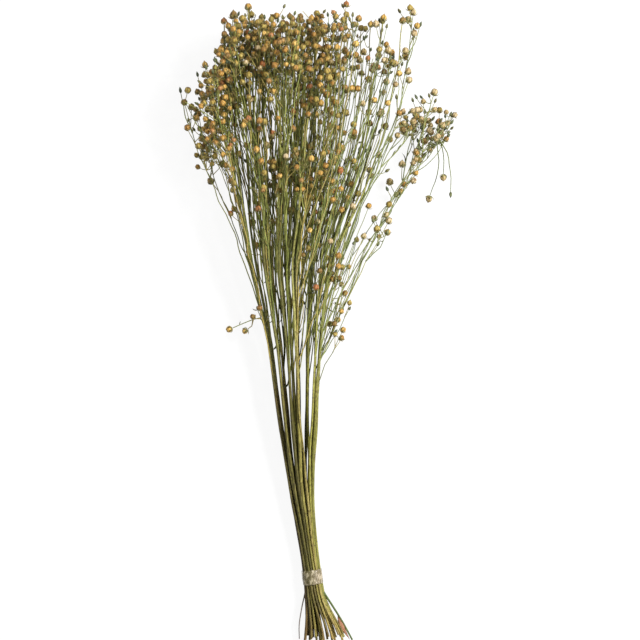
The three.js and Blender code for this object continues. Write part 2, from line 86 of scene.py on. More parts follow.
# What a limb carries: how thick it is, and how far its middle stands past the tip, in radii
CAPSULE = {"name": "capsule", "radius": 4.3, "foot": 0.9}
BUD = {"name": "bud", "radius": 1.6, "foot": 1.6}
BUD_CHANCE = 0.14
FRUIT_CORE = (-0.2, 0.4)
LOWEST_FRUIT = 0.86

# The narrow leaves, and the dry leaf on a bent shoot among the cut ends
LEAF_COUNT = 12
LEAF_HEIGHTS = (150, 400)
LEAF_LENGTH = 14
LEAF_WIDTH = 2.6
LEAF_MIDDLE = (0.18, 0.45)
LEAF_TIP = (0.5, 0.85)
DRY_LEAF = [(26.2, -39.2, 0.6), (30.4, -50.6, 1.3), (38, -64, 0)]
DRY_LEAF_WIDTH = 6
SHOOT = [(12, -14, 0), (25, -40, 1), (36, -60, 0)]

# The band
BAND_WIDTH = 14.5
BAND_THICKNESS = 0.6
BAND_GAP = 0.3
BAND_LEAN = math.atan(0.13)

# How the bunch narrows above the band and opens out into its head, by height: its middle, how many times
# wider it is than in the band, and its twist in degrees
FAN_HEIGHTS = (-66, -16, 16, 80, 150, 235, 330, 440, 580)
FAN_X = (6, 2.1, -2.1, -9.8, -11.8, -13.3, -14.5, -6, 3)
FAN_Z = (1.4, 0.2, 0, 3.4, 9, 17, 29, 40, 44)
FAN_WIDE_X = (2.05, 1.1, 1, 1.36, 2.4, 3.55, 5.8, 9.2, 11)
FAN_WIDE_Z = (1.12, 1.02, 1, 1.3, 1.95, 2.8, 4, 4.8, 4.9)
FAN_TWIST = (-13, -4, 4, 12, 17, 19, 19, 19, 19)

# Between the band and the head the stems part into three strands, which come together again higher up
STRAND_SPLITS = (-3.2, 3.4)
STRAND_BLEND = 0.6
STRAND_PART = 1.5
STRAND_SQUEEZE = 0.8
STRAND_HEIGHTS = (16, 110, 215, 330)

# The outline of the head, as (x, height) from its lower left round the top to its lower right
HEAD_OUTLINE = [
    (-44, 215), (-64, 270), (-84, 320), (-104, 370), (-118, 420), (-129, 465), (-128, 490), (-104, 518),
    (-95, 530), (-90, 558), (-72, 572), (-30, 572), (-4, 580), (28, 571), (100, 571), (104, 545),
    (96, 500), (120, 492), (146, 478), (144, 446), (112, 424), (92, 372), (62, 325), (42, 275), (24, 215),
]
HEAD_DEPTH = 14

# How the stems end: the share of them, between which heights, and with how many twigs
REACHES = [(0.66, (525, 572), 3), (0.24, (450, 515), 2), (0.1, (330, 420), 2)]

# How a place is looked for, how far apart things stay, and where the random draws start
TRIES = 30
CLEARANCE = 0.45
STEM_CLEARANCE = 0.2
REACHING_LIFT = 0.5
PART_STEP = 0.02
SEED = 2024
SEED_STEP = 101

# Twigs that reach out of the head, or droop from it, as points (x, height, rise) and what they carry. The
# first of each group grows from the nearest stem, and the others from the nearest of that stem's twigs.
REACHING = [
    [
        (CAPSULE, [(16, 215, 0), (44, 300, 2), (86, 393, 6), (128, 452, 10)]),
        (CAPSULE, [(110, 428, 8), (112, 455, 12), (121, 484, 14)]),
        (CAPSULE, [(127, 450, 10), (132, 425, 14), (131, 406, 16)]),
        (CAPSULE, [(126, 448, 10), (126, 412, 6), (118, 385, 2)]),
        (BUD, [(129, 446, 12), (138, 415, 20), (138, 388, 20)]),
    ],
    [
        (CAPSULE, [(66, 400, 0), (86, 470, 2), (96, 530, 4), (100, 562, 4)]),
        (CAPSULE, [(92, 505, 4), (98, 528, 12), (103, 548, 14)]),
        (BUD, [(95, 525, 4), (103, 540, -4), (107, 552, -6)]),
    ],
    [
        (CAPSULE, [(20, 235, 0), (58, 335, -6), (97, 410, -12), (118, 446, -16)]),
        (CAPSULE, [(88, 393, -10), (96, 425, -14), (101, 452, -16)]),
    ],
    [
        (CAPSULE, [(-45, 238, 0), (-55, 262, 2), (-66, 258, 4), (-80, 252, 5)]),
        (CAPSULE, [(-57, 262, 2), (-61, 254, -3), (-65, 251, -5)]),
    ],
    [
        (CAPSULE, [(-48, 262, 0), (-84, 360, 3), (-116, 434, 5), (-127, 474, 6)]),
        (BUD, [(-120, 445, 5), (-128, 468, 13), (-131, 486, 14)]),
    ],
    [
        (CAPSULE, [(-40, 245, 0), (-72, 338, -4), (-98, 400, -8), (-110, 440, -10)]),
        (CAPSULE, [(-84, 366, -6), (-92, 385, -14), (-101, 398, -18)]),
    ],
    [
        (CAPSULE, [(22, 240, 0), (44, 300, 3), (62, 332, 5), (75, 356, 6)]),
        (BUD, [(56, 322, 4), (67, 333, -4), (74, 346, -6)]),
    ],
]

UP = np.array([0.0, 1.0, 0.0])
UPRIGHT = np.array([0.0, 0.0, 1.0])
WORD = 0xFFFFFFFF


def drawer(seed):
    """Random draws from 0 to 1 that repeat from a seed. The numbers in it are this generator's own."""
    state = seed & WORD

    def draw():
        nonlocal state
        state = (state + 0x6D2B79F5) & WORD
        mixed = (state ^ (state >> 15)) * (1 | state) & WORD
        mixed = (mixed + (mixed ^ (mixed >> 7)) * (61 | mixed)) & WORD ^ mixed
        return (mixed ^ (mixed >> 14)) / 4294967296

    return draw


def between(draw, low, high):
    """A random number in a range."""
    return low + (high - low) * draw()


def ramp(value, start, end):
    """0 up to the start, 1 from the end on, and a smooth rise between them."""
    part = min(max((value - start) / (end - start), 0), 1)
    return part * part * (3 - 2 * part)


def unit(vector):
    return vector / np.linalg.norm(vector)


def turned(angle):
    """A level direction across the bunch."""
    return np.array([math.cos(angle), 0.0, math.sin(angle)])


def fan_at(height):
    """The bundle's middle x and z, how wide and deep it is, and its twist. Past the last height all of
    them run on as between the last two."""
    last = len(FAN_HEIGHTS) - 1
    high = next((i for i in range(1, last) if FAN_HEIGHTS[i] >= height), last)
    low = high - 1
    part = (height - FAN_HEIGHTS[low]) / (FAN_HEIGHTS[high] - FAN_HEIGHTS[low])
    columns = (FAN_X, FAN_Z, FAN_WIDE_X, FAN_WIDE_Z, FAN_TWIST)
    return [column[low] + (column[high] - column[low]) * part for column in columns]


def stem_place(root, height):
    """Where the stem that stands at root in the band is at some height."""
    middle_x, middle_z, wide_x, wide_z, twist = fan_at(height)
    turn = math.radians(twist)
    x = root[0] * math.cos(turn) - root[1] * math.sin(turn)
    z = root[0] * math.sin(turn) + root[1] * math.cos(turn)
    rise = ramp(height, STRAND_HEIGHTS[0], STRAND_HEIGHTS[1])
    parted = rise * (1 - ramp(height, STRAND_HEIGHTS[2], STRAND_HEIGHTS[3]))
    left_split, right_split = STRAND_SPLITS
    right = ramp(x, right_split - STRAND_BLEND, right_split + STRAND_BLEND)
    left = ramp(-x, -left_split - STRAND_BLEND, -left_split + STRAND_BLEND)
    strand_x = x * STRAND_SQUEEZE + (right - left) * STRAND_PART
    placed_x = x + (strand_x - x) * parted
    return np.array([middle_x + placed_x * wide_x, height, middle_z + z * wide_z])


def stem_roots():
    """Where the stems stand in the band: the innermost places of a triangular lattice."""
    places = []
    for row in range(-LATTICE_ROWS, LATTICE_ROWS + 1):
        for column in range(-LATTICE_ROWS, LATTICE_ROWS + 1):
            x = (column + row / 2 + LATTICE_SHIFT[0]) * STEM_SPACING
            z = (row * math.sqrt(3) / 2 + LATTICE_SHIFT[1]) * STEM_SPACING
            turned_x = x * math.cos(LATTICE_TURN) - z * math.sin(LATTICE_TURN)
            turned_z = x * math.sin(LATTICE_TURN) + z * math.cos(LATTICE_TURN)
            places.append((turned_x, turned_z))
    places.sort(key=lambda place: math.hypot(*place))
    return places[:STEM_COUNT]


BUNDLE_RADIUS = max(math.hypot(*root) for root in stem_roots())
BAND_INNER = BUNDLE_RADIUS + STEM_RADII[0] + BAND_GAP
FLOOR = -(BAND_INNER + BAND_THICKNESS)


def outline_top(x):
    """The highest that a stem may reach at some x without leaving the head."""
    top = 0
    for (x1, y1), (x2, y2) in zip(HEAD_OUTLINE, HEAD_OUTLINE[1:]):
        if x1 != x2 and (x1 - x) * (x2 - x) <= 0:
            top = max(top, y1 + (y2 - y1) * (x - x1) / (x2 - x1))
    return top


def is_in_head(x, height):
    """Whether a place is inside the head's outline: an upright line to it crosses the outline an odd
    number of times."""
    inside = False
    for (x1, y1), (x2, y2) in zip(HEAD_OUTLINE, HEAD_OUTLINE[1:] + HEAD_OUTLINE[:1]):
        if (y1 > height) != (y2 > height) and x < x1 + (x2 - x1) * (height - y1) / (y2 - y1):
            inside = not inside
    return inside


def stem_points(root, tops, draw):
    """The points of one main stem, from its cut end up."""
    cut_end = between(draw, *CUT_ENDS)
    wanted = between(draw, *tops)
    top = min(wanted, outline_top(stem_place(root, wanted)[0]) - CAPSULE["radius"])
    heights = [h for h in FAN_HEIGHTS if cut_end < h < top - SHORTEST_STRETCH]
    points = []
    for height in [cut_end, *heights, top]:
        point = stem_place(root, height)
        sway = STEM_SPACING * STEM_SWAY * ramp(height, *SWAY_HEIGHTS)
        point[0] += between(draw, -sway, sway) * fan_at(height)[2]
        point[2] += between(draw, -sway, sway) * fan_at(height)[3]
        points.append(point)
    return points


def point_at_height(points, height):
    """A stem's place at some height. Past its ends it runs on straight."""
    last = len(points) - 1
    high = next((i for i in range(1, last) if points[i][1] >= height), last)
    part = (height - points[high - 1][1]) / (points[high][1] - points[high - 1][1])
    return points[high - 1] + (points[high] - points[high - 1]) * part


def point_at_part(points, part):
    """A limb's place at a part of the way along it, with each of its stretches as one equal share."""
    place = part * (len(points) - 1)
    start = min(math.floor(place), len(points) - 2)
    return points[start] + (points[start + 1] - points[start]) * (place - start)


class Thicket:
    """The limbs and fruits that are placed so far, as straight rods with a radius."""

    ROOM = 30000
    PARALLEL = 1e-9

    def __init__(self):
        self.count = 0
        self.start = np.zeros((self.ROOM, 3))
        self.along = np.zeros((self.ROOM, 3))
        self.radius = np.zeros(self.ROOM)
        self.owner = np.zeros(self.ROOM, int)
        self.is_fruit = np.zeros(self.ROOM, bool)

    def add(self, rods):
        for start, end, radius, owner, is_fruit in rods:
            self.start[self.count] = start
            self.along[self.count] = end - start
            self.radius[self.count] = radius
            self.owner[self.count] = owner
            self.is_fruit[self.count] = is_fruit
            self.count += 1

    def gaps(self, start, along, radius):
        """How far a rod is from each placed one, surface to surface."""
        others = self.along[:self.count]
        away = start - self.start[:self.count]
        own_square, square = along @ along, (others * others).sum(1)
        product = others @ along
        own_lag, lag = away @ along, (others * away).sum(1)
        cross = own_square * square - product * product
        nearest = (product * lag - own_lag * square) / np.maximum(cross, self.PARALLEL)
        own_part = np.clip(np.where(cross > self.PARALLEL, nearest, 0), 0, 1)
        part = (product * own_part + lag) / square
        at_start = np.clip(-own_lag / own_square, 0, 1)
        at_end = np.clip((product - own_lag) / own_square, 0, 1)
        own_part = np.where(part < 0, at_start, np.where(part > 1, at_end, own_part))
        part = np.clip(part, 0, 1)
        between_them = away + own_part[:, None] * along - part[:, None] * others
        return np.linalg.norm(between_them, axis=1) - radius - self.radius[:self.count]

    def is_clear(self, rods, clearance):
        """A limb may touch the limbs of its own spray, from which it grows."""
        for start, end, radius, owner, is_fruit in rods:
            near = self.gaps(start, end - start, radius) <= clearance
            if not is_fruit:
                near &= (self.owner[:self.count] != owner) | self.is_fruit[:self.count]
            if near.any():
                return False
        return True


class Spray:
    """One stem of the bunch with all that grows on it."""

    def __init__(self, index, root):
        self.index = index
        self.root = root
        self.draw = drawer(SEED + index * SEED_STEP)
        self.tops, self.twig_count = reach_of(self.draw)
        self.stem = stem_points(root, self.tops, self.draw)
        self.turn = between(self.draw, 0, 2 * math.pi)
        # The solids draw a stem's thickness here. The finer stem has its own, but passes the draw over.
        self.draw()
        self.fruit = None
        self.limbs = []
        self.blades = []

    def twigs(self):
        return [points for form, points, fruit in self.limbs if form == "twig"]


def reach_of(draw):
    """How far up a stem reaches and how many twigs it has, drawn by the shares of the three kinds."""
    kind = draw()
    for share, tops, twigs in REACHES[:-1]:
        if kind < share:
            return tops, twigs
        kind -= share
    return REACHES[-1][1:]


def limb_rods(points, radius, owner):
    """The rods that stand for a limb, one for each of its stretches."""
    return [(start, end, radius, owner, False) for start, end in zip(points, points[1:])]


def fruit_rod(fruit, owner):
    """The short thick rod that stands for a fruit."""
    radius = fruit["kind"]["radius"]
    start, end = (fruit["centre"] + fruit["axis"] * up * radius for up in FRUIT_CORE)
    return (start, end, radius, owner, True)


def fruit_at_tip(form, points, kind):
    """The fruit on a limb's tip. A stalk's fruit is turned up a little."""
    axis = unit(points[-1] - points[-2])
    if form.endswith("stalk"):
        axis = unit(axis + UP * STALK_LIFT)
    return {"kind": kind, "axis": axis, "centre": points[-1] + axis * kind["foot"] * kind["radius"]}


def is_inside(fruit):
    """Whether a fruit is in the head, above the floor and not too high over the bundle."""
    x, height, z = fruit["centre"]
    middle_z, wide_z = fan_at(height)[1], fan_at(height)[3]
    highest = middle_z + wide_z * BUNDLE_RADIUS + HEAD_DEPTH
    return is_in_head(x, height) and FLOOR + CAPSULE["radius"] * LOWEST_FRUIT < z < highest


def twig_points(spray, place, lowest=TWIG_LOWEST):
    """A twig runs on beside its stem and bends outwards."""
    top = spray.stem[-1][1]
    lowest = min(lowest, top - TWIG_BELOW_TOP[0])
    highest = top - TWIG_BELOW_TOP[1]
    root = lowest + (highest - lowest) * (place + spray.draw()) / spray.twig_count
    end = root + (top + TWIG_PAST_TOP - root) * between(spray.draw, *TWIG_SHARE)
    sway = between(spray.draw, -TWIG_TURN_SWAY, TWIG_TURN_SWAY)
    turn = spray.turn + place * TWIG_TURN_STEP + sway
    aside = between(spray.draw, *TWIG_ASIDE)
    side, depth = spray.root[0] / BUNDLE_RADIUS, spray.root[1] / BUNDLE_RADIUS
    shift_x = aside * math.cos(turn) + side * between(spray.draw, *TWIG_OUTWARDS)
    shift_z = aside * math.sin(turn) * TWIG_FLATNESS + depth * between(spray.draw, *TWIG_DEEPER)
    points = []
    for part in TWIG_PARTS:
        height = root + (end - root) * part
        point = point_at_height(spray.stem, min(height, top))
        bend = part ** TWIG_BEND
        level = max(point[2] + shift_z * bend, FLOOR + TWIG_ABOVE_FLOOR)
        points.append(np.array([point[0] + shift_x * bend, height, level]))
    return points


def side_at(limb, part, draw):
    """A place on a limb, the way the limb runs there, and a random way square to it."""
    root = point_at_part(limb, part)
    ahead = unit(point_at_part(limb, part + PART_STEP) - root)
    side = turned(between(draw, 0, 2 * math.pi))
    return root, ahead, unit(side - ahead * (side @ ahead))


def stalk_points(limb, draw):
    """A stalk leaves its limb at an angle, to a random side."""
    root, ahead, side = side_at(limb, between(draw, *STALK_FROM), draw)
    lean = between(draw, *STALK_LEAN)
    direction = ahead * math.cos(lean) + side * math.sin(lean)
    return [root, root + direction * between(draw, *STALK_LENGTH)]


def try_limb(spray, form, points, kind, is_bound=True):
    """A limb is kept only where it stays clear of what is there already, and its fruit in the head."""
    fruit = fruit_at_tip(form, points, kind)
    radius = TWIG_RADIUS if form == "twig" else STALK_RADIUS
    rods = limb_rods(points, radius, spray.index) + [fruit_rod(fruit, spray.index)]
    if (is_bound and not is_inside(fruit)) or not thicket.is_clear(rods, CLEARANCE):
        return False
    spray.limbs.append((form, points, fruit))
    thicket.add(rods)
    return True


def is_placed_within(tries, try_once):
    """Whether one of so many tries places what they are made for."""
    return any(try_once(attempt) for attempt in range(tries))


def add_stem_tips():
    """The stems and the capsule on top of each are there before anything else."""
    for spray in sprays:
        thicket.add(limb_rods(spray.stem, STEM_RADII[1] + STEM_CLEARANCE, spray.index))
    for spray in sprays:
        spray.fruit = fruit_at_tip("stem", spray.stem, CAPSULE)
        thicket.add([fruit_rod(spray.fruit, spray.index)])


def sprays_near(x, height):
    """The sprays whose stems go on well past some height, the nearest to some x there first."""
    tall = [spray for spray in sprays if spray.stem[-1][1] > height + 2 * SHORTEST_STRETCH]
    return sorted(tall, key=lambda spray: abs(point_at_height(spray.stem, height)[0] - x))


def try_reaching(spray, limb, root, level):
    """A reaching twig is lifted or lowered, a little more each time, until it is clear."""
    kind, places = limb

    def try_once(attempt):
        lift = attempt * (REACHING_LIFT if attempt % 2 else -REACHING_LIFT)
        lowest = FLOOR + CAPSULE["radius"]
        points = [np.array([x, height, max(level + rise + lift, lowest)]) for x, height, rise in places]
        points[0] = root
        return try_limb(spray, "twig", points, kind, False)

    return is_placed_within(TRIES, try_once)


def nearest_point(spray, wanted):
    parts = np.arange(0, 1, PART_STEP)
    points = [point_at_part(limb, part) for limb in spray.twigs() for part in parts]
    return min(points, key=lambda point: np.linalg.norm(point - wanted))


def add_reaching_twigs():
    for first, *others in REACHING:
        x, height, _ = first[1][0]
        for spray in sprays_near(x, height):
            root = point_at_height(spray.stem, height)
            if try_reaching(spray, first, root, root[2]):
                break
        level = root[2]
        add_stalks_to(spray, spray.limbs[-1][1], STALKS_ON_REACHING)
        for limb in others:
            start_x, start_height, rise = limb[1][0]
            start = nearest_point(spray, np.array([start_x, start_height, level + rise]))
            try_reaching(spray, limb, start, level)


def draw_fruit(draw):
    """Most limbs carry a capsule, and a few a bud."""
    return BUD if draw() < BUD_CHANCE else CAPSULE


def add_limb_with_fruit(spray, form, draw_points):
    is_placed_within(TRIES, lambda _: try_limb(spray, form, draw_points(), draw_fruit(spray.draw)))


def add_twigs():
    for place in range(REACHES[0][2]):
        for spray in [spray for spray in sprays if place < spray.twig_count]:
            add_limb_with_fruit(spray, "twig", lambda: twig_points(spray, place))


def add_stalks_to(spray, limb, count):
    for _ in range(count):
        add_limb_with_fruit(spray, "stalk", lambda: stalk_points(limb, spray.draw))


def add_stalks():
    for spray in sprays:
        for limb in [spray.stem[-2:], *spray.twigs()]:
            if spray.draw() < STALK_CHANCE:
                add_stalks_to(spray, limb, 1)


def try_blade(spray, points, width):
    rods = limb_rods(points, width / 2, spray.index)
    if not thicket.is_clear(rods, CLEARANCE):
        return False
    spray.blades.append((points, width))
    thicket.add(rods)
    return True


def leaf_points(root, turn, length):
    """A leaf leaves its stem upwards and curves away from it."""
    side = turned(turn) * length
    return [root] + [root + side * out + UP * length * up for out, up in (LEAF_MIDDLE, LEAF_TIP)]


def add_leaves():
    draw = drawer(SEED - 1)

    def try_once(_):
        spray = sprays[math.floor(draw() * STEM_COUNT)]
        root = point_at_height(spray.stem, between(draw, *LEAF_HEIGHTS))
        points = leaf_points(root, between(draw, 0, 2 * math.pi), LEAF_LENGTH)
        return try_blade(spray, points, LEAF_WIDTH)

    for _ in range(LEAF_COUNT):
        is_placed_within(TRIES, try_once)


def add_shoot():
    """The bent shoot grows from the outermost stem on the right, and the dry leaf clings to it."""
    spray = sprays_near(*SHOOT[0][:2])[0]
    points = [np.array(point, float) for point in SHOOT]
    points[0] = point_at_height(spray.stem, SHOOT[0][1])
    spray.limbs.append(("twig", points, None))
    thicket.add(limb_rods(points, TWIG_RADIUS, spray.index))
    try_blade(spray, [np.array(point, float) for point in DRY_LEAF], DRY_LEAF_WIDTH)


thicket = Thicket()
sprays = [Spray(index, root) for index, root in enumerate(stem_roots())]
add_stem_tips()
add_shoot()
add_reaching_twigs()
add_twigs()
add_stalks()
add_leaves()

# What the solids leave out: finer twigs and branches, and a stalk with its fruit at most places where there
# is room. These have their own draws, so that what stands where a solid stands isn't moved by them.
SMALL_CAPSULE = {"name": "capsule", "radius": 3.2, "foot": 0.9}
SMALL_BUD = {"name": "bud", "radius": 1.45, "foot": 1.6}
FINE_CLEARANCE = 0.05
FINE_TRIES = 12
FINE_BUD_CHANCE = 0.25
EMPTY_CHANCE = 0.04
FINE_SEED = 7000

# Fine twigs beside a stem, and bare ones that have lost what they carried. The right side is looser, from
# where on is given in radii of the bundle.
FINE_TWIGS = 3
LOOSE_FINE_TWIGS = 1
BARE_TWIGS = 4
LOOSE_BARE_TWIGS = 0
FINE_TWIG_LOWEST = 290
FINE_TWIG_LEAN = 18
BARE_TWIG_LEAN = 32
LOOSE_FROM = 0.25

# Low twigs that leave a stem sideways and bend up: how many to the left of there, and how many beyond
SIDE_TWIGS = (0, 1)
LOOSE_SIDE_TWIGS = (1.5, 3.5)
SIDE_TWIG_ROOTS = (195, 340)
SIDE_TWIG_RISE = (45, 120)
SIDE_TWIG_OUT = (5, 20)
SIDE_TWIG_DEPTH = 10
SIDE_TWIG_BEND = 1.3

# Branches that leave a twig at a narrow angle: more of them on a twig that ends far to one side
BRANCHES = (0, 1.3)
LEFT_EDGE_BRANCHES = 1.2
RIGHT_EDGE_BRANCHES = 1.7
EDGE = (66, 104)
BRANCH_FROM = (0.4, 0.9)
BRANCH_LEAN = (0.15, 0.5)
BRANCH_LENGTH = (24, 62)

# Long twigs that fan out on the right: how many, where they leave their stems, and from which to which
# place their tips stand
FAN_TWIGS = 6
FAN_TWIG_ROOTS = (205, 270)
FAN_TWIG_TIPS = [(58, 342), (132, 452)]
FAN_TWIG_SWAY = 9
FAN_TWIG_BEND = 1.2

# Stalks
FINE_STALKS = (1.5, 6.2)
FINE_STALK_FROM = (0.45, 0.99)
FINE_STALK_LEAN = (0.3, 1.2)
FINE_STALK_LENGTH = (6, 18)

# Fine stalks and branches fruit most in the crown, which hangs lower at its sides, less so on its loose
# side, given by where that starts, is full, still is and ends, and again in a looser tier below its middle.
# Everywhere they stand in clumps.
CROWN_FROM = 484
CROWN_DROP = 100
CROWN_SIDES = (60, 118)
CROWN_RISE = 46
BELOW_CROWN_SHARE = 0.07
LOOSE_SHARE = 0.12
LOOSE_PLACES = (16, 44, 90, 112)
LOWER_TIER = (-8, 404)
LOWER_TIER_REACH = (46, 36)
LOWER_TIER_SHARE = 0.4
CLUMP_WIDTH = 47
CLUMP_HEIGHT = 38
CLUMP_SHARE = 0.7

# How far inside the head's outline they stay: at its sides as a factor, and at its top
OUTLINE_MARGIN = 1.02
TOP_MARGIN = 11

# Small leaves, and from which of its points a stem has them
FINE_LEAVES = 200
FINE_LEAF_STEM_POINT = 5
FINE_LEAF_LENGTH = (4, 11)
FINE_LEAF_WIDTH = (1.1, 2.1)

# Two bare shoots below the band
THIN_SHOOT = [(-7.6, -14, 0), (-11.2, -34, 0.5), (-13.4, -50, 0), (-13.2, -63, -1)]
GREEN_SHOOT = [(12, -13, 0), (20, -28, 0.6), (32.5, -49, 0.8), (40.5, -64, -0.4)]


def draw_fine_fruit(draw):
    return SMALL_BUD if draw() < FINE_BUD_CHANCE else SMALL_CAPSULE


def is_wanted(fruit, draw):
    """Whether a fruit may stand where it does, by chance and by how thick the head is there."""
    x, height, _ = fruit["centre"]
    start = CROWN_FROM - CROWN_DROP * ramp(abs(x), *CROWN_SIDES)
    share = BELOW_CROWN_SHARE + (1 - BELOW_CROWN_SHARE) * ramp(height, start, start + CROWN_RISE)
    low, full, still_full, high = LOOSE_PLACES
    loose = ramp(x, low, full) * (1 - ramp(x, still_full, high))
    row = 2 * math.pi * height / CLUMP_HEIGHT
    wave = math.sin(2 * math.pi * x / CLUMP_WIDTH + row / 3) * math.sin(row)
    share *= (1 + (LOOSE_SHARE - 1) * loose) * (1 - CLUMP_SHARE * (1 - wave) / 2)
    across, up = ((a - b) / c for a, b, c in zip((x, height), LOWER_TIER, LOWER_TIER_REACH))
    return draw() < max(share, LOWER_TIER_SHARE * (1 - across ** 2 - up ** 2))


def try_fine(spray, form, points, kind, is_thinned):
    """A fine limb is kept only where its fruit has room, and, if its form is thinned out, is wanted."""
    fruit = fruit_at_tip(form, points, kind)
    x, height, _ = fruit["centre"]
    margin = TOP_MARGIN if kind is SMALL_CAPSULE else 0
    if not is_inside(fruit) or not is_in_head(x * OUTLINE_MARGIN, height + margin):
        return False
    rods = [fruit_rod(fruit, spray.index)]
    if (is_thinned and not is_wanted(fruit, spray.draw)) or not thicket.is_clear(rods, FINE_CLEARANCE):
        return False
    spray.limbs.append((form, points, fruit))
    thicket.add(rods)
    return True


def add_fine(spray, form, draw_points, is_thinned=True):
    is_placed_within(FINE_TRIES, lambda _: try_fine(
        spray, form, draw_points(), draw_fine_fruit(spray.draw), is_thinned))


def sideways(limb, part, lean, draw):
    """A place on a limb, the way the limb runs there, and a direction that leans away from it."""
    root, ahead, side = side_at(limb, part, draw)
    return root, ahead, ahead * math.cos(lean) + side * math.sin(lean)


def fine_stalk_points(limb, draw):
    part, lean = between(draw, *FINE_STALK_FROM), between(draw, *FINE_STALK_LEAN)
    root, _, direction = sideways(limb, part, lean, draw)
    return [root, root + direction * between(draw, *FINE_STALK_LENGTH)]


def branch_points(limb, draw):
    part, lean = between(draw, *BRANCH_FROM), between(draw, *BRANCH_LEAN)
    root, ahead, direction = sideways(limb, part, lean, draw)
    half = between(draw, *BRANCH_LENGTH) / 2
    middle = root + direction * half
    return [root, middle, middle + unit(direction + ahead + UP) * half]


def side_twig_points(spray):
    draw = spray.draw
    root = point_at_height(spray.stem, between(draw, *SIDE_TWIG_ROOTS))
    ahead = unit(point_at_height(spray.stem, root[1] + SHORTEST_STRETCH) - root)
    rise, out = between(draw, *SIDE_TWIG_RISE), between(draw, *SIDE_TWIG_OUT)
    is_right = draw() < 0.5 + spray.root[0] / BUNDLE_RADIUS / 2
    shift = np.array([out if is_right else -out, 0, between(draw, -SIDE_TWIG_DEPTH, SIDE_TWIG_DEPTH)])
    return [root + ahead * rise * part + shift * part ** SIDE_TWIG_BEND for part in TWIG_PARTS]


def fan_twig_points(spray, place):
    """A long twig that bends out to the right, to its place in the fan."""
    draw = spray.draw
    root = point_at_height(spray.stem, between(draw, *FAN_TWIG_ROOTS))
    (near_x, near_height), (far_x, far_height) = FAN_TWIG_TIPS
    sway = between(draw, -FAN_TWIG_SWAY, FAN_TWIG_SWAY)
    run = np.array([near_x + (far_x - near_x) * place - root[0],
                    near_height + (far_height - near_height) * place + sway - root[1], sway])
    bends = [np.array([part ** FAN_TWIG_BEND, part, part]) for part in TWIG_PARTS]
    return [root + run * bend for bend in bends]


def add_fan_twigs():
    for i in range(FAN_TWIGS):
        place = i / (FAN_TWIGS - 1)
        spray = sprays_near(FAN_TWIG_TIPS[0][0], FAN_TWIG_ROOTS[0])[i]
        add_fine(spray, "fine_twig", lambda: fan_twig_points(spray, place), False)


def is_loose(spray):
    return spray.root[0] > LOOSE_FROM * BUNDLE_RADIUS


def fine_twig_points(spray, place, furthest):
    """A fine twig grows as the solids' twigs do, from higher up, and leans more to one side."""
    lean = between(spray.draw, -furthest, furthest)
    points = twig_points(spray, place, FINE_TWIG_LOWEST)
    return [point + np.array([lean * part ** 2, 0, 0]) for point, part in zip(points, TWIG_PARTS)]


def add_fine_twigs(spray):
    for place in range(LOOSE_FINE_TWIGS if is_loose(spray) else FINE_TWIGS):
        add_fine(spray, "fine_twig", lambda: fine_twig_points(spray, place, FINE_TWIG_LEAN), False)
    side_twigs = LOOSE_SIDE_TWIGS if is_loose(spray) else SIDE_TWIGS
    for _ in range(round(between(spray.draw, *side_twigs))):
        add_fine(spray, "fine_twig", lambda: side_twig_points(spray), False)


def add_bare_twigs(spray):
    for place in range(LOOSE_BARE_TWIGS if is_loose(spray) else BARE_TWIGS):
        points = fine_twig_points(spray, place, BARE_TWIG_LEAN)
        if is_in_head(points[-1][0], points[-1][1] + CAPSULE["radius"]):
            spray.limbs.append(("fine_twig", points, None))


def fruiting_twigs(spray):
    return [points for form, points, fruit in spray.limbs if fruit and form.endswith("twig")]


def add_branches(spray):
    for limb in fruiting_twigs(spray):
        at_edge = RIGHT_EDGE_BRANCHES if limb[-1][0] > 0 else LEFT_EDGE_BRANCHES
        count = between(spray.draw, *BRANCHES) + at_edge * ramp(abs(limb[-1][0]), *EDGE)
        for _ in range(round(count)):
            add_fine(spray, "fine_twig", lambda: branch_points(limb, spray.draw))


def add_fine_stalks(spray):
    for limb in [spray.stem[-2:], *fruiting_twigs(spray)]:
        for _ in range(round(between(spray.draw, *FINE_STALKS))):
            add_fine(spray, "fine_stalk", lambda: fine_stalk_points(limb, spray.draw))


def add_fine_leaves(draw):
    """Small leaves grow on the upper part of a stem and on all its twigs."""
    for _ in range(FINE_LEAVES):
        spray = sprays[math.floor(draw() * STEM_COUNT)]
        twigs = [points for form, points, _ in spray.limbs if form.endswith("twig")]
        carriers = [spray.stem[FINE_LEAF_STEM_POINT:], *twigs]
        root = point_at_part(carriers[math.floor(draw() * len(carriers))], draw())
        points = leaf_points(root, between(draw, 0, 2 * math.pi), between(draw, *FINE_LEAF_LENGTH))
        spray.blades.append((points, between(draw, *FINE_LEAF_WIDTH)))


def add_shoots():
    """A thin bare shoot hangs away from the cut ends on the left, and the one that the dry leaf clings to
    is thicker and greener than the solid's, and runs along the leaf's outer edge."""
    points = [np.array(point, float) for point in THIN_SHOOT]
    apart = [np.linalg.norm(point_at_height(spray.stem, points[0][1]) - points[0]) for spray in sprays]
    sprays[int(np.argmin(apart))].limbs.append(("thin_shoot", points, None))
    spray = sprays_near(*SHOOT[0][:2])[0]
    points = [np.array(point, float) for point in GREEN_SHOOT]
    place = next(i for i, limb in enumerate(spray.limbs) if limb[2] is None)
    spray.limbs[place] = ("green_shoot", points, None)


add_shoots()
for spray in sprays:
    spray.draw = drawer(FINE_SEED + spray.index * SEED_STEP)
    add_fine_twigs(spray)
add_fan_twigs()
for spray in sprays:
    add_branches(spray)
for spray in sprays:
    add_fine_stalks(spray)
    add_bare_twigs(spray)
add_fine_leaves(drawer(FINE_SEED - 1))

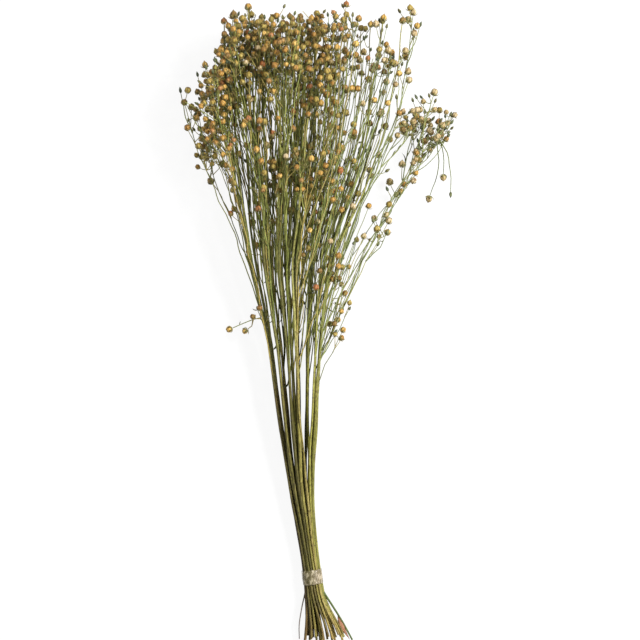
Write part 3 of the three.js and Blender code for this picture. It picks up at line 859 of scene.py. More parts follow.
# The limbs' curves. A step is the length of one stretch, and a bow how far a limb strays from its line.
STEM_STEP = 9
LIMB_STEPS = {"twig": 7, "fine_twig": 7, "green_shoot": 4, "thin_shoot": 4, "stalk": 2.6, "fine_stalk": 2.6}
LEAF_STEP = 1.6
STEM_BOW = 1.5
STEM_BOW_LENGTHS = (170, 74)
TWIG_BOW = 1.2
TWIG_BOW_LENGTHS = (60, 27)
STEADY_HEIGHTS = (16, 150)
ROOT_FADE = 0.5

# The cut ends spread to the right: from where on, how far at most, and between which heights
SPREAD_PLACES = (-14, 26)
SPREAD = 11
SPREAD_SWAY = 2.6
SPREAD_HEIGHTS = (14, 62)

# Between the band and the head the stems gather in strands, which crowd to the left
STRANDS_EACH_SIDE = 5
STRAND_JITTER = 0.36
STRAND_SEED = 6
STRAND_HEIGHT = 230
GATHER_SHARE = (0.6, 0.97)
CROWDING = 0.2
GATHER_HEIGHTS = (40, 190, 290, 420)

# The radii of a stem by height, and how far one stem's differ from another's. The other limbs have a radius
# at their root and one at their tip, and flare out at their root.
STEM_THICKNESS = [(-66, 1.15), (20, 1.1), (110, 1.55), (250, 1.3), (400, 0.9), (575, 0.5)]
STEM_SIZES = (0.62, 1.22)
LIMB_THICKNESS = {
    "twig": (0.66, 0.4), "fine_twig": (0.5, 0.34), "stalk": (0.4, 0.32), "fine_stalk": (0.38, 0.3),
    "green_shoot": (1.2, 0.95), "thin_shoot": (0.75, 0.5),
}
FLARE = 1.4
FLARE_LENGTH = 2.2

# A leaf's width: at its foot as a share, how far below its middle it is widest, and how blunt its tip is
BLADE_FOOT = 0.22
BLADE_SKEW = 0.8
BLADE_BLUNTNESS = 0.02


def smooth(points, step, end_tangent=None):
    """A smooth curve through the points, in stretches of about one step."""
    points = np.array(points)
    spans = np.linalg.norm(np.diff(points, axis=0), axis=1)
    slopes = np.diff(points, axis=0) / spans[:, None]
    share = (spans[:-1] / (spans[:-1] + spans[1:]))[:, None]
    tangents = np.vstack([slopes[:1], slopes[:-1] * (1 - share) + slopes[1:] * share, slopes[-1:]])
    if end_tangent is not None:
        tangents[-1] = end_tangent
    curve = [points[:1]]
    for i, span in enumerate(spans):
        count = max(1, round(span / step))
        part = (np.arange(1, count + 1) / count)[:, None]
        rise = 3 * part ** 2 - 2 * part ** 3
        ends = points[i] * (1 - rise) + points[i + 1] * rise
        pulls = tangents[i] * part * (1 - part) ** 2 - tangents[i + 1] * part ** 2 * (1 - part)
        curve.append(ends + pulls * span)
    return np.vstack(curve)


def bowed(curve, size, waves, draw, fade):
    """A curve strays from its line in two slow waves, where fade isn't 0."""
    along = lengths(curve)
    strayed = curve.copy()
    for axis in (0, 2):
        for wave in waves:
            phase = between(draw, 0, 2 * math.pi)
            strayed[:, axis] += np.sin(2 * math.pi * along / wave + phase) * fade * size * wave / waves[0]
    return strayed


def spread(curve, draw):
    """Below the band a stem leans out to the right, the more so the further right it stands."""
    leaned = curve.copy()
    left, right = SPREAD_PLACES
    sway = between(draw, -SPREAD_SWAY, SPREAD_SWAY)
    for point in leaned:
        part = min(max((point[0] - left) / (right - left), 0), 1)
        point[0] += (SPREAD * part + sway) * ramp(-point[1], *SPREAD_HEIGHTS)
    return leaned


def place_within(point):
    """How far across and how high up in the bundle a point is: each from -1 at an edge to 1."""
    middle_x, middle_z, wide_x, wide_z, _ = fan_at(point[1])
    return (point[0] - middle_x) / wide_x / BUNDLE_RADIUS, (point[2] - middle_z) / wide_z / BUNDLE_RADIUS


def strand_places():
    """Where the strands stand, from -1 at the bundle's left edge to 1 at its right one."""
    draw = drawer(STRAND_SEED)
    numbers = range(-STRANDS_EACH_SIDE, STRANDS_EACH_SIDE + 1)
    return [(i + between(draw, -STRAND_JITTER, STRAND_JITTER)) / STRANDS_EACH_SIDE for i in numbers]


STRAND_PLACES = strand_places()


def gathered(curve, draw):
    """A stem is drawn to its strand, and its strand to the left, least so at the bundle's edges."""
    low, full, still_full, high = GATHER_HEIGHTS
    own_place = place_within(point_at_height(curve, STRAND_HEIGHT))[0]
    strand = min(STRAND_PLACES, key=lambda place: abs(place - own_place))
    own_share = between(draw, *GATHER_SHARE)
    drawn = curve.copy()
    for point in drawn:
        across = place_within(point)[0]
        share = ramp(point[1], low, full) * (1 - ramp(point[1], still_full, high))
        moved = across + share * own_share * (strand - across)
        moved -= share * CROWDING * max(0, 1 - moved ** 2)
        point[0] += (moved - across) * fan_at(point[1])[2] * BUNDLE_RADIUS
    return drawn


def lengths(curve):
    """How far along a curve each of its points is."""
    return np.concatenate([[0], np.cumsum(np.linalg.norm(np.diff(curve, axis=0), axis=1))])


def rooted(curve, parents):
    """A limb starts on the nearest point of what it grows from, and keeps its tip."""
    shift = parents[np.argmin(np.linalg.norm(parents - curve[0], axis=1))] - curve[0]
    along = lengths(curve)
    fade = np.clip(1 - along / along[-1] / ROOT_FADE, 0, 1) ** 2
    return curve + shift * fade[:, None]


def tapered(curve, thickness):
    """The limb's radius at each of its points: it flares out a little at its root."""
    along = lengths(curve)
    radius = thickness[0] + (thickness[1] - thickness[0]) * along / along[-1]
    return radius * (1 + (FLARE - 1) * np.exp(-along / FLARE_LENGTH))


def blade_radius(curve, width):
    """Half of a leaf's width at each of its points: widest below its middle, and pointed."""
    part = lengths(curve) / lengths(curve)[-1]
    swell = BLADE_FOOT + (1 - BLADE_FOOT) * np.sin(math.pi * part ** BLADE_SKEW)
    return width / 2 * swell * np.sqrt(1 + BLADE_BLUNTNESS - part)


# The shapes that stand on the tips. Each is one radius in size, has its middle at the origin and its tip
# towards +Z, and is few-sided, because it is repeated hundreds of times.
LOBES = 5
POD_FOOT = 1.2
CAPSULE_FORMS = {
    "capsule_1": {"rings": [(0.5, -0.82), (0.92, -0.38), (0.98, 0.14), (0.74, 0.66), (0.24, 0.98)],
                  "groove": 0.95, "parting": 0, "tip": 1.2},
    "capsule_2": {"rings": [(0.48, -0.8), (0.9, -0.42), (0.97, 0.06), (0.78, 0.54), (0.34, 0.86)],
                  "groove": 0.92, "parting": 0, "tip": 1.3},
    "capsule_3": {"rings": [(0.52, -0.78), (0.94, -0.36), (0.99, 0.16), (0.8, 0.62), (0.4, 0.98)],
                  "groove": 0.9, "parting": 0.2, "tip": 0.7},
}
BUD_FORMS = {
    "bud_1": {"rings": [(0.5, -1.3), (0.94, -0.5), (0.96, 0.5), (0.46, 1.7)],
              "groove": 0.92, "parting": 0, "tip": 2.4},
    "bud_2": {"rings": [(0.56, -1.2), (1, -0.4), (0.8, 0.7), (0.4, 1.5)],
              "groove": 0.86, "parting": 0.25, "tip": 1.9},
}

# A sepal's faces, by their corners: left, right and keel at its first station, the same at its second, and
# the tip. Then where each corner lies in the UV map.
SEPAL_FACES = [(0, 1, 2), (0, 3, 4, 1), (1, 4, 5, 2), (2, 5, 3, 0), (3, 6, 4), (4, 6, 5), (5, 6, 3)]
SEPAL_UVS = [(0, 0), (1, 0), (0.5, 0), (0, 0.5), (1, 0.5), (0.5, 0.5), (0.5, 1)]

# A sepal runs over three stations, as (how far out, how high, half of its width)
SEPAL_FORMS = {
    "calyx_1": [(0.3, -0.98, 0.16), (0.98, -0.5, 0.34), (1.1, 0.22, 0)],
    "calyx_2": [(0.3, -0.98, 0.16), (1.06, -0.62, 0.32), (1.5, -0.05, 0)],
    "calyx_3": [(0.28, -0.98, 0.14), (0.72, -0.5, 0.26), (1.25, 0.35, 0)],
}
SEPAL_THICKNESS = 0.14
KEEL_SHARE = 0.7


def mesh_object(name, vertices, faces, uvs=None):
    mesh = bpy.data.meshes.new(name)
    mesh.from_pydata([tuple(map(float, vertex)) for vertex in vertices], [], faces)
    if uvs is not None:
        layer = mesh.uv_layers.new(name="UVMap")
        layer.data.foreach_set("uv", [value for uv in uvs for value in uv])
    mesh.validate()
    return bpy.data.objects.new(name, mesh)


def lobed_shape(name, rings, groove, parting, tip):
    """A closed pod with lobes: a groove runs up between each two, and may part them at the tip."""
    sides = 2 * LOBES
    base = POD_FOOT * rings[0][1]
    vertices = [(0, 0, base)]
    for i, (radius, height) in enumerate(rings):
        is_top = i == len(rings) - 1
        for k in range(sides):
            is_groove = k % 2 == 1
            turn = 2 * math.pi * k / sides
            out = radius * (groove if is_groove else 1)
            up = height - (parting if is_top and is_groove else 0)
            vertices.append((out * math.cos(turn), out * math.sin(turn), up))
    vertices.append((0, 0, tip))
    faces, uvs = [], []
    highest = max(tip, rings[-1][1])

    def part_up(vertex):
        return (vertices[vertex][2] - base) / (highest - base)

    for k in range(sides):
        here, there = k / 2, (k + 1) / 2
        after = (k + 1) % sides
        faces.append((0, 1 + after, 1 + k))
        uvs += [(here, 0), (there, part_up(1 + after)), (here, part_up(1 + k))]
        for i in range(len(rings) - 1):
            low, high = 1 + i * sides, 1 + (i + 1) * sides
            faces.append((low + k, low + after, high + after, high + k))
            uvs += [(u, part_up(v)) for u, v in zip((here, there, there, here), faces[-1])]
        top = 1 + (len(rings) - 1) * sides
        faces.append((top + k, top + after, len(vertices) - 1))
        uvs += [(here, part_up(top + k)), (there, part_up(top + after)), (here, 1)]
    return mesh_object(name, vertices, faces, uvs)


def calyx_shape(name, stations):
    """Five pointed sepals round a small foot, each a thin closed wedge with a keel."""
    vertices, faces, uvs = [], [], []
    for k in range(LOBES):
        turn = 2 * math.pi * (k + 0.5) / LOBES
        out = np.array([math.cos(turn), math.sin(turn), 0])
        side = np.array([-math.sin(turn), math.cos(turn), 0])
        start = len(vertices)
        for radius, height, half in stations[:2]:
            middle = out * radius + UPRIGHT * height
            keel = middle + (out - UPRIGHT) * KEEL_SHARE * SEPAL_THICKNESS
            vertices += [middle - side * half, middle + side * half, keel]
        vertices.append(out * stations[2][0] + UPRIGHT * stations[2][1])
        for face in SEPAL_FACES:
            faces.append(tuple(start + corner for corner in face))
            uvs += [SEPAL_UVS[corner] for corner in face]
    return mesh_object(name, vertices, faces, uvs)


def shape_collection(name, shapes):
    collection = bpy.data.collections.new(name)
    for shape in shapes:
        collection.objects.link(shape)
    return collection


CAPSULES = shape_collection("capsules", [lobed_shape(name, **form) for name, form in CAPSULE_FORMS.items()])
BUDS = shape_collection("buds", [lobed_shape(name, **form) for name, form in BUD_FORMS.items()])
CALYXES = shape_collection("calyxes", [calyx_shape(name, form) for name, form in SEPAL_FORMS.items()])

# The node tree that grows one spray from its guide: a mesh whose edges are the limbs' lines and whose
# loose points are the fruits' places. The guide's points hold what the tree needs as attributes.
FORMS = {"stem": 0, "twig": 1, "stalk": 2, "blade": 3, "capsule": 4, "bud": 5, "calyx": 6}
FRUIT_FORMS = ("capsule", "bud", "calyx")
LIMB_SIDES = {"stem": 7, "twig": 5, "stalk": 4, "blade": 6}
BLADE_FLATNESS = 0.16
GUIDE_ATTRIBUTES = {"form": "INT", "thick": "FLOAT", "tint": "FLOAT_COLOR", "kind": "INT",
                    "size": "FLOAT_VECTOR", "turn": "FLOAT_VECTOR"}


def feed(tree, socket, value):
    """An input is linked to the socket that feeds it, or set to a value."""
    if isinstance(value, bpy.types.NodeSocket):
        tree.links.new(value, socket)
    else:
        socket.default_value = value


def add_node(tree, kind, inputs=None, **settings):
    """A node with its settings, and its inputs by name: a value, or the socket that feeds it."""
    node = tree.nodes.new(kind)
    for name, value in settings.items():
        setattr(node, name, value)
    for name, value in (inputs or {}).items():
        feed(tree, node.inputs[name], value)
    return node


def named(tree, name, data_type):
    node = add_node(tree, "GeometryNodeInputNamedAttribute", {"Name": name}, data_type=data_type)
    return node.outputs["Attribute"]


def part_of_form(tree, geometry, form):
    """The guide's limbs or points of one form."""
    same = add_node(tree, "FunctionNodeCompare", data_type="INT", operation="EQUAL")
    tree.links.new(named(tree, "form", "INT"), same.inputs[2])
    same.inputs[3].default_value = FORMS[form]
    apart = add_node(tree, "GeometryNodeSeparateGeometry", {"Geometry": geometry}, domain="POINT")
    tree.links.new(same.outputs["Result"], apart.inputs["Selection"])
    return apart.outputs["Selection"]


def limb_skins(tree, geometry, form, sides, flatness, material):
    """A closed skin round each of the guide's lines of one form."""
    lines = add_node(tree, "GeometryNodeMeshToCurve", {"Mesh": part_of_form(tree, geometry, form)})
    spline = add_node(tree, "GeometryNodeSplineParameter")
    along = add_node(tree, "GeometryNodeStoreNamedAttribute", {
        "Geometry": lines.outputs["Curve"], "Name": "along", "Value": spline.outputs["Length"],
    }, data_type="FLOAT", domain="POINT")
    thick = add_node(tree, "GeometryNodeSetCurveRadius", {
        "Curve": along.outputs["Geometry"], "Radius": named(tree, "thick", "FLOAT")})
    circle = add_node(tree, "GeometryNodeCurvePrimitiveCircle", {"Resolution": sides, "Radius": 1.0})
    scale = add_node(tree, "ShaderNodeCombineXYZ", {"X": 1.0, "Y": flatness, "Z": 1.0})
    profile = add_node(tree, "GeometryNodeTransform", {
        "Geometry": circle.outputs["Curve"], "Scale": scale.outputs["Vector"]})
    around = add_node(tree, "GeometryNodeStoreNamedAttribute", {
        "Geometry": profile.outputs["Geometry"], "Name": "around",
        "Value": add_node(tree, "GeometryNodeSplineParameter").outputs["Factor"],
    }, data_type="FLOAT", domain="POINT")
    skin = add_node(tree, "GeometryNodeCurveToMesh", {
        "Curve": thick.outputs["Curve"], "Profile Curve": around.outputs["Geometry"], "Fill Caps": True})
    if "Scale" in skin.inputs:
        # Where this input is there, the curve's own radius is passed over
        tree.links.new(named(tree, "thick", "FLOAT"), skin.inputs["Scale"])
    whole = add_node(tree, "GeometryNodeRealizeInstances", {"Geometry": skin.outputs["Mesh"]})
    return finished(tree, whole.outputs["Geometry"], material)


def fruit_shapes(tree, geometry, form, collection, material):
    """A shape on each of the guide's points of one form."""
    shapes = add_node(tree, "GeometryNodeCollectionInfo", {
        "Collection": collection, "Separate Children": True, "Reset Children": True})
    turn = add_node(tree, "FunctionNodeEulerToRotation", {"Euler": named(tree, "turn", "FLOAT_VECTOR")})
    placed = add_node(tree, "GeometryNodeInstanceOnPoints", {
        "Points": part_of_form(tree, geometry, form),
        "Instance": shapes.outputs["Instances"],
        "Pick Instance": True,
        "Instance Index": named(tree, "kind", "INT"),
        "Rotation": turn.outputs["Rotation"],
        "Scale": named(tree, "size", "FLOAT_VECTOR"),
    })
    whole = add_node(tree, "GeometryNodeRealizeInstances", {"Geometry": placed.outputs["Instances"]})
    return finished(tree, whole.outputs["Geometry"], material)


def finished(tree, geometry, material):
    shaded = add_node(tree, "GeometryNodeSetShadeSmooth", {"Geometry": geometry})
    slotted = add_node(tree, "GeometryNodeSetMaterial", {
        "Geometry": shaded.outputs["Geometry"], "Material": material})
    return slotted.outputs["Geometry"]


def spray_tree():
    tree = bpy.data.node_groups.new("grow_spray", "GeometryNodeTree")
    tree.interface.new_socket("Geometry", in_out="OUTPUT", socket_type="NodeSocketGeometry")
    inputs = {"Geometry": "Geometry", "blade flatness": "Float"}
    inputs.update({f"{form} sides": "Int" for form in LIMB_SIDES})
    inputs.update({f"{form} shapes": "Collection" for form in FRUIT_FORMS})
    inputs.update({f"{form} finish": "Material" for form in FORMS})
    for name, kind in inputs.items():
        tree.interface.new_socket(name, in_out="INPUT", socket_type=f"NodeSocket{kind}")
    given = tree.nodes.new("NodeGroupInput").outputs
    joined = tree.nodes.new("GeometryNodeJoinGeometry")
    for form in LIMB_SIDES:
        flatness = given["blade flatness"] if form == "blade" else 1.0
        skins = limb_skins(tree, given["Geometry"], form, given[f"{form} sides"], flatness,
                           given[f"{form} finish"])
        tree.links.new(skins, joined.inputs["Geometry"])
    for form in FRUIT_FORMS:
        shapes = fruit_shapes(tree, given["Geometry"], form, given[f"{form} shapes"],
                              given[f"{form} finish"])
        tree.links.new(shapes, joined.inputs["Geometry"])
    result = tree.nodes.new("NodeGroupOutput")
    tree.links.new(joined.outputs["Geometry"], result.inputs["Geometry"])
    return tree


# Finishes. All patterns lie on Object coordinates, in metres, or on what the node tree stores. A grain is how
# many spots a pattern has in a metre, and its detail. A layer lays a tone over those below it: how, by which
# pattern, where in that pattern it sets in and is full, its share there, and its tone. Depths are metres.

# Dry stems and twigs: fibres, browner stretches, and the rings that fallen leaves left
FIBRE_GRAIN = (1500, 3.0)
STRETCH_GRAIN = (42, 2.0)
STRETCH_LENGTHWAYS = (1, 0.6, 1)
DARK_FIBRES = (0.62, 0.35)
DARK_FIBRE_TONE = "#7d7350"
PLANT_LAYERS = [
    ("MIX", "stretch", (0.56, 0.78), 0.5, "#7a6238"),
    ("MIX", "fibre", (0.58, 0.8), 0.35, "#b3ab74"),
]
SCAR_EDGES = (0.035, 0.0)
SCAR_LAYER = ("MIX", "ring", SCAR_EDGES, 0.65, "#4c3f22")
SCAR_RISE = 0.8
FIBRE_DULLNESS = (0.3, 0.7)
FIBRE_DULLNESS_SWAY = 0.1
PLANT_SHINE = 0.35
PLANT_DEPTH = 0.00012

# Dry papery pods: lobes with a dark line between them and a fainter one along each, blotches and specks
GROOVE_EDGES = (0.17, 0.02)
RIDGE_EDGES = (0.46, 0.5)
BLOTCH_GRAIN = (420, 3.0)
SPECK_GRAIN = (2600, 2.0)
POD_LAYERS = [
    ("MULTIPLY", "blotch", (0.4, 0.66), 0.6, "#c9aa78"),
    ("SCREEN", "blotch", (0.52, 0.3), 0.3, "#6e5c3a"),
]
FOOT_EDGES = (0.42, 0.08)
FOOT_SHARE = 0.7
TIP_EDGES = (0.84, 0.97)
TIP_SHARE = 0.85
RIDGE_SHARE = 0.22
GROOVE_SHARE = 0.8
SPECKS = (0.56, 0.72)
SPECK_SHARE = 0.55
SPECK_RISE = 0.4
BLOTCH_DULLNESS = (0.3, 0.7)
BLOTCH_DULLNESS_SWAY = (-0.1, 0.12)
POD_SHINE = 0.4
POD_DEPTH = 0.00025

# Pointed dry sepals: a thin straw margin, a paler midrib and a brown tip
PATCH_GRAIN = (700, 3.0)
SEPAL_LAYERS = [
    ("MIX", "off rib", (0.34, 0.5), 0.6, "#b9a26a"),
    ("MIX", "off rib", (0.1, 0.0), 0.5, "#a5a271"),
    ("MIX", "up", (0.6, 1.0), 0.6, "#6b4a26"),
    ("MULTIPLY", "patch", (0.45, 0.7), 0.6, "#8a7a4c"),
]
SEPAL_DULLNESS = 0.7
SEPAL_DEPTH = 0.0001

# Dry narrow leaves: veins along them, and browner towards the margin
LEAF_VEINS = 6
LEAF_PATCH_GRAIN = (300, 4.0)
BLADE_LAYERS = [
    ("MULTIPLY", "vein", (0.35, 0.0), 0.55, "#8f8452"),
    ("MIX", "margin", (0.8, 1.0), 0.7, "#8a6a3c"),
    ("MULTIPLY", "patch", (0.45, 0.7), 0.6, "#9a7a50"),
]
BLADE_DULLNESS = 0.65
BLADE_DEPTH = 0.0002

# Half clear film: whiter and duller where it is creased, dusty in places, and pinker on its right side
CREASE_GRAIN = (420, 4.0)
CREASE_LENGTHWAYS = (1, 0.5, 1)
CLOUD_GRAIN = (130, 3.0)
CLOUD_LENGTHWAYS = (1, 1.6, 1)
SCRATCH_GRAIN = (1600, 2.0)
SCRATCH_LENGTHWAYS = (1, 0.4, 1)
CLEAR_TONE = "#8a7f55"
RIGHT_SIDE = (-0.004, 0.006)
FILM_LAYERS = [
    ("MIX", "crease", (0.44, 0.64), 1.0, "#c4b998"),
    ("MIX", "across", RIGHT_SIDE, 0.5, "#ab9a86"),
    ("MIX", "cloud", (0.52, 0.7), 0.5, "#8a7b60"),
]
CREASES = (0.38, 0.68)
CREASE_COVER = (0.14, 0.76)
RIGHT_COVER = 0.18
SCRATCHES = (0.3, 0.7)
SCRATCH_DULLNESS = (0.2, 0.46)
SCRATCH_RISE = 0.4
FILM_SHINE = 0.6
FILM_DEPTH = 0.0005


def linear(code):
    """A colour as the renderer wants it, from its usual hexadecimal code."""
    parts = [int(code[i:i + 2], 16) / 255 for i in (1, 3, 5)]
    return tuple(part / 12.92 if part <= 0.04045 else ((part + 0.055) / 1.055) ** 2.4 for part in parts)


def new_finish(name, shine=None, dullness=None):
    """A material, its tree and its shader, with the settings that are the same all over it."""
    material = bpy.data.materials.new(name)
    material.use_nodes = True
    tree = material.node_tree
    tree.nodes.clear()
    shader = tree.nodes.new("ShaderNodeBsdfPrincipled")
    output = tree.nodes.new("ShaderNodeOutputMaterial")
    tree.links.new(shader.outputs["BSDF"], output.inputs["Surface"])
    if shine is not None:
        shader.inputs["Specular IOR Level"].default_value = shine
    if dullness is not None:
        shader.inputs["Roughness"].default_value = dullness
    return material, tree, shader


def maths(tree, operation, *values):
    node = add_node(tree, "ShaderNodeMath", operation=operation)
    for socket, value in zip(node.inputs, values):
        feed(tree, socket, value)
    return node.outputs[0]


def attribute(tree, name, output="Fac"):
    return add_node(tree, "ShaderNodeAttribute", attribute_name=name).outputs[output]


def mixed(tree, mode, factor, first, second):
    """Two colours blended: factor, first and second are sockets or values."""
    node = add_node(tree, "ShaderNodeMix", data_type="RGBA", blend_type=mode)
    for socket, value in zip((node.inputs[0], node.inputs[6], node.inputs[7]), (factor, first, second)):
        feed(tree, socket, (*value, 1) if isinstance(value, tuple) else value)
    return node.outputs[2]


def ranged(tree, value, low, high, to_low=0.0, to_high=1.0):
    """A value's stretch from low to high, spread smoothly between two others."""
    node = add_node(tree, "ShaderNodeMapRange", interpolation_type="SMOOTHSTEP")
    for socket, given in zip(node.inputs, (value, low, high, to_low, to_high)):
        feed(tree, socket, given)
    return node.outputs[0]


def noise(tree, grain, lengthways=(1, 1, 1)):
    """Noise on Object coordinates."""
    place = add_node(tree, "ShaderNodeTexCoord").outputs["Object"]
    mapping = add_node(tree, "ShaderNodeMapping", {"Vector": place, "Scale": lengthways})
    return add_node(tree, "ShaderNodeTexNoise", {
        "Vector": mapping.outputs["Vector"], "Scale": grain[0], "Detail": grain[1]}).outputs["Fac"]


def off_middle(tree, value):
    """How far a value's fraction is from a half, on either side."""
    return maths(tree, "ABSOLUTE", maths(tree, "SUBTRACT", maths(tree, "FRACT", value), 0.5))


def pod_directions(tree):
    """Across and up a piece, by its UV map."""
    place = add_node(tree, "ShaderNodeUVMap", uv_map="UVMap").outputs["UV"]
    split = add_node(tree, "ShaderNodeSeparateXYZ", {"Vector": place})
    return split.outputs["X"], split.outputs["Y"]


def layered(tree, shader, patterns, layers, under=None):
    """Layers on the piece's own tint, or on another tone, as the shader's colour."""
    tone = under or attribute(tree, "tint", "Color")
    for mode, pattern, edges, share, over in layers:
        tone = mixed(tree, mode, ranged(tree, patterns[pattern], *edges, 0.0, share), tone, linear(over))
    tree.links.new(tone, shader.inputs["Base Color"])


def bumped(tree, shader, height, depth):
    bump = add_node(tree, "ShaderNodeBump", {"Height": height, "Distance": depth, "Strength": 1.0})
    tree.links.new(bump.outputs["Normal"], shader.inputs["Normal"])


def plant_finish(name, streaks, mottle, dullness, scars=None):
    """Dry stem or twig: how long its streaks are, how mottled and dull it is, and how far apart its scars."""
    material, tree, shader = new_finish(name, PLANT_SHINE)
    fibre = noise(tree, FIBRE_GRAIN, (1, streaks, 1))
    patterns = {"fibre": fibre, "stretch": noise(tree, STRETCH_GRAIN, STRETCH_LENGTHWAYS)}
    layers = [("MULTIPLY", "fibre", DARK_FIBRES, mottle, DARK_FIBRE_TONE), *PLANT_LAYERS]
    height = fibre
    if scars:
        sway = maths(tree, "MULTIPLY", patterns["stretch"], scars / 2)
        place = maths(tree, "ADD", attribute(tree, "along"), sway)
        patterns["ring"] = off_middle(tree, maths(tree, "DIVIDE", place, scars))
        layers.append(SCAR_LAYER)
        height = maths(tree, "ADD", fibre, ranged(tree, patterns["ring"], *SCAR_EDGES, 0.0, SCAR_RISE))
    layered(tree, shader, patterns, layers)
    low, high = dullness - FIBRE_DULLNESS_SWAY, dullness + FIBRE_DULLNESS_SWAY
    tree.links.new(ranged(tree, fibre, *FIBRE_DULLNESS, low, high), shader.inputs["Roughness"])
    bumped(tree, shader, height, PLANT_DEPTH)
    return material


def pod_finish(name, groove_tone, foot_tone, tip_tone, dullness):
    material, tree, shader = new_finish(name, POD_SHINE)
    across, up = pod_directions(tree)
    off_groove = off_middle(tree, across)
    blotch = noise(tree, BLOTCH_GRAIN)
    speck = noise(tree, SPECK_GRAIN)
    patterns = {"off groove": off_groove, "up": up, "blotch": blotch, "speck": speck}
    layered(tree, shader, patterns, [
        *POD_LAYERS,
        ("MIX", "up", FOOT_EDGES, FOOT_SHARE, foot_tone),
        ("MIX", "up", TIP_EDGES, TIP_SHARE, tip_tone),
        ("MIX", "off groove", RIDGE_EDGES, RIDGE_SHARE, groove_tone),
        ("MIX", "off groove", GROOVE_EDGES, GROOVE_SHARE, groove_tone),
        ("MULTIPLY", "speck", SPECKS, SPECK_SHARE, groove_tone),
    ])
    low, high = (dullness + sway for sway in BLOTCH_DULLNESS_SWAY)
    tree.links.new(ranged(tree, blotch, *BLOTCH_DULLNESS, low, high), shader.inputs["Roughness"])
    groove = ranged(tree, off_groove, *GROOVE_EDGES)
    height = maths(tree, "SUBTRACT", maths(tree, "MULTIPLY", speck, SPECK_RISE), groove)
    bumped(tree, shader, height, POD_DEPTH)
    return material


def sepal_finish():
    material, tree, shader = new_finish("dry_sepal", dullness=SEPAL_DULLNESS)
    across, up = pod_directions(tree)
    off_rib = maths(tree, "ABSOLUTE", maths(tree, "SUBTRACT", across, 0.5))
    patch = noise(tree, PATCH_GRAIN)
    layered(tree, shader, {"off rib": off_rib, "up": up, "patch": patch}, SEPAL_LAYERS)
    bumped(tree, shader, patch, SEPAL_DEPTH)
    return material


def blade_finish():
    material, tree, shader = new_finish("dry_leaf", dullness=BLADE_DULLNESS)
    turn = maths(tree, "MULTIPLY", attribute(tree, "around"), 2 * math.pi)
    vein = maths(tree, "ABSOLUTE", maths(tree, "SINE", maths(tree, "MULTIPLY", turn, LEAF_VEINS)))
    margin = maths(tree, "ABSOLUTE", maths(tree, "COSINE", turn))
    patch = noise(tree, LEAF_PATCH_GRAIN)
    layered(tree, shader, {"vein": vein, "margin": margin, "patch": patch}, BLADE_LAYERS)
    bumped(tree, shader, maths(tree, "ADD", vein, patch), BLADE_DEPTH)
    return material


def film_finish():
    material, tree, shader = new_finish("clear_film", FILM_SHINE)
    crease = noise(tree, CREASE_GRAIN, CREASE_LENGTHWAYS)
    cloud = noise(tree, CLOUD_GRAIN, CLOUD_LENGTHWAYS)
    scratch = noise(tree, SCRATCH_GRAIN, SCRATCH_LENGTHWAYS)
    place = add_node(tree, "ShaderNodeTexCoord").outputs["Object"]
    split = add_node(tree, "ShaderNodeSeparateXYZ", {"Vector": place})
    across = maths(tree, "SUBTRACT", split.outputs["X"], BAND_MIDDLE.x)
    patterns = {"crease": crease, "cloud": cloud, "across": across}
    layered(tree, shader, patterns, FILM_LAYERS, linear(CLEAR_TONE))
    cover = maths(tree, "ADD", ranged(tree, crease, *CREASES, *CREASE_COVER),
                  ranged(tree, across, *RIGHT_SIDE, 0.0, RIGHT_COVER))
    tree.links.new(cover, shader.inputs["Alpha"])
    tree.links.new(ranged(tree, scratch, *SCRATCHES, *SCRATCH_DULLNESS), shader.inputs["Roughness"])
    height = maths(tree, "ADD", crease, maths(tree, "MULTIPLY", scratch, SCRATCH_RISE))
    bumped(tree, shader, height, FILM_DEPTH)
    return material


BAND_LOW, BAND_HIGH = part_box("tie_band")
BAND_MIDDLE = (BAND_LOW + BAND_HIGH) / 2
FINISHES = {
    "stem": plant_finish("dry_stem", 0.025, 0.75, 0.62, scars=0.031),
    "twig": plant_finish("dry_twig", 0.04, 0.5, 0.7, scars=0.017),
    "stalk": plant_finish("dry_stalk", 0.06, 0.4, 0.75),
    "blade": blade_finish(),
    "capsule": pod_finish("seed_capsule", "#634b26", "#7a7642", "#6b4a26", 0.5),
    "bud": pod_finish("flower_bud", "#333823", "#4c5431", "#4a3f24", 0.65),
    "calyx": sepal_finish(),
}

# Tints. Low down a stem's tint goes by the side on which it stands in the band, from left to right, and
# higher up by its height: darker to the left and lighter to the right, partly the stems' own tones and
# partly painted shade on the side away from the key light and painted light on the side it falls on. Its
# cut end is paler, and each stem is a little nearer to a tone of its own.
SIDE_TONES_AND_PAINTED_LIGHT = [(-1, "#4f331b"), (-0.5, "#67532a"), (0, "#867e3a"), (0.5, "#a09a44"), (1, "#b9b356")]
SIDE_JITTER = 0.45
SIDE_TONE_HEIGHTS = (150, 260)
STEM_TONES = [(170, "#b2ae62"), (330, "#9ba054"), (460, "#929748"), (560, "#9c9044")]
TAIL_TONE = "#b8904e"
TAIL_SHARE = 0.7
TAIL_HEIGHTS = (-10, -66)
OWN_TONES = ["#4a4426", "#c0be6c", "#76733a", "#dccb86", "#667040", "#403820"]
OWN_SHARE = (0.15, 0.72)

# Painted shade: how much darker things are painted inside the bunch, where their neighbours shade them,
# and on its lower side, by height. Blue fades faster in the painted shade.
PAINTED_INNER_SHADE = [(-66, 0.4), (0, 0.8), (60, 0.85), (200, 0.45), (400, 0.12)]
PAINTED_LOWER_SHADE = [(0, 0.5), (120, 0.4), (220, 0.15), (400, 0.1)]
PAINTED_SHADE_BLUE_FADE = 1.7

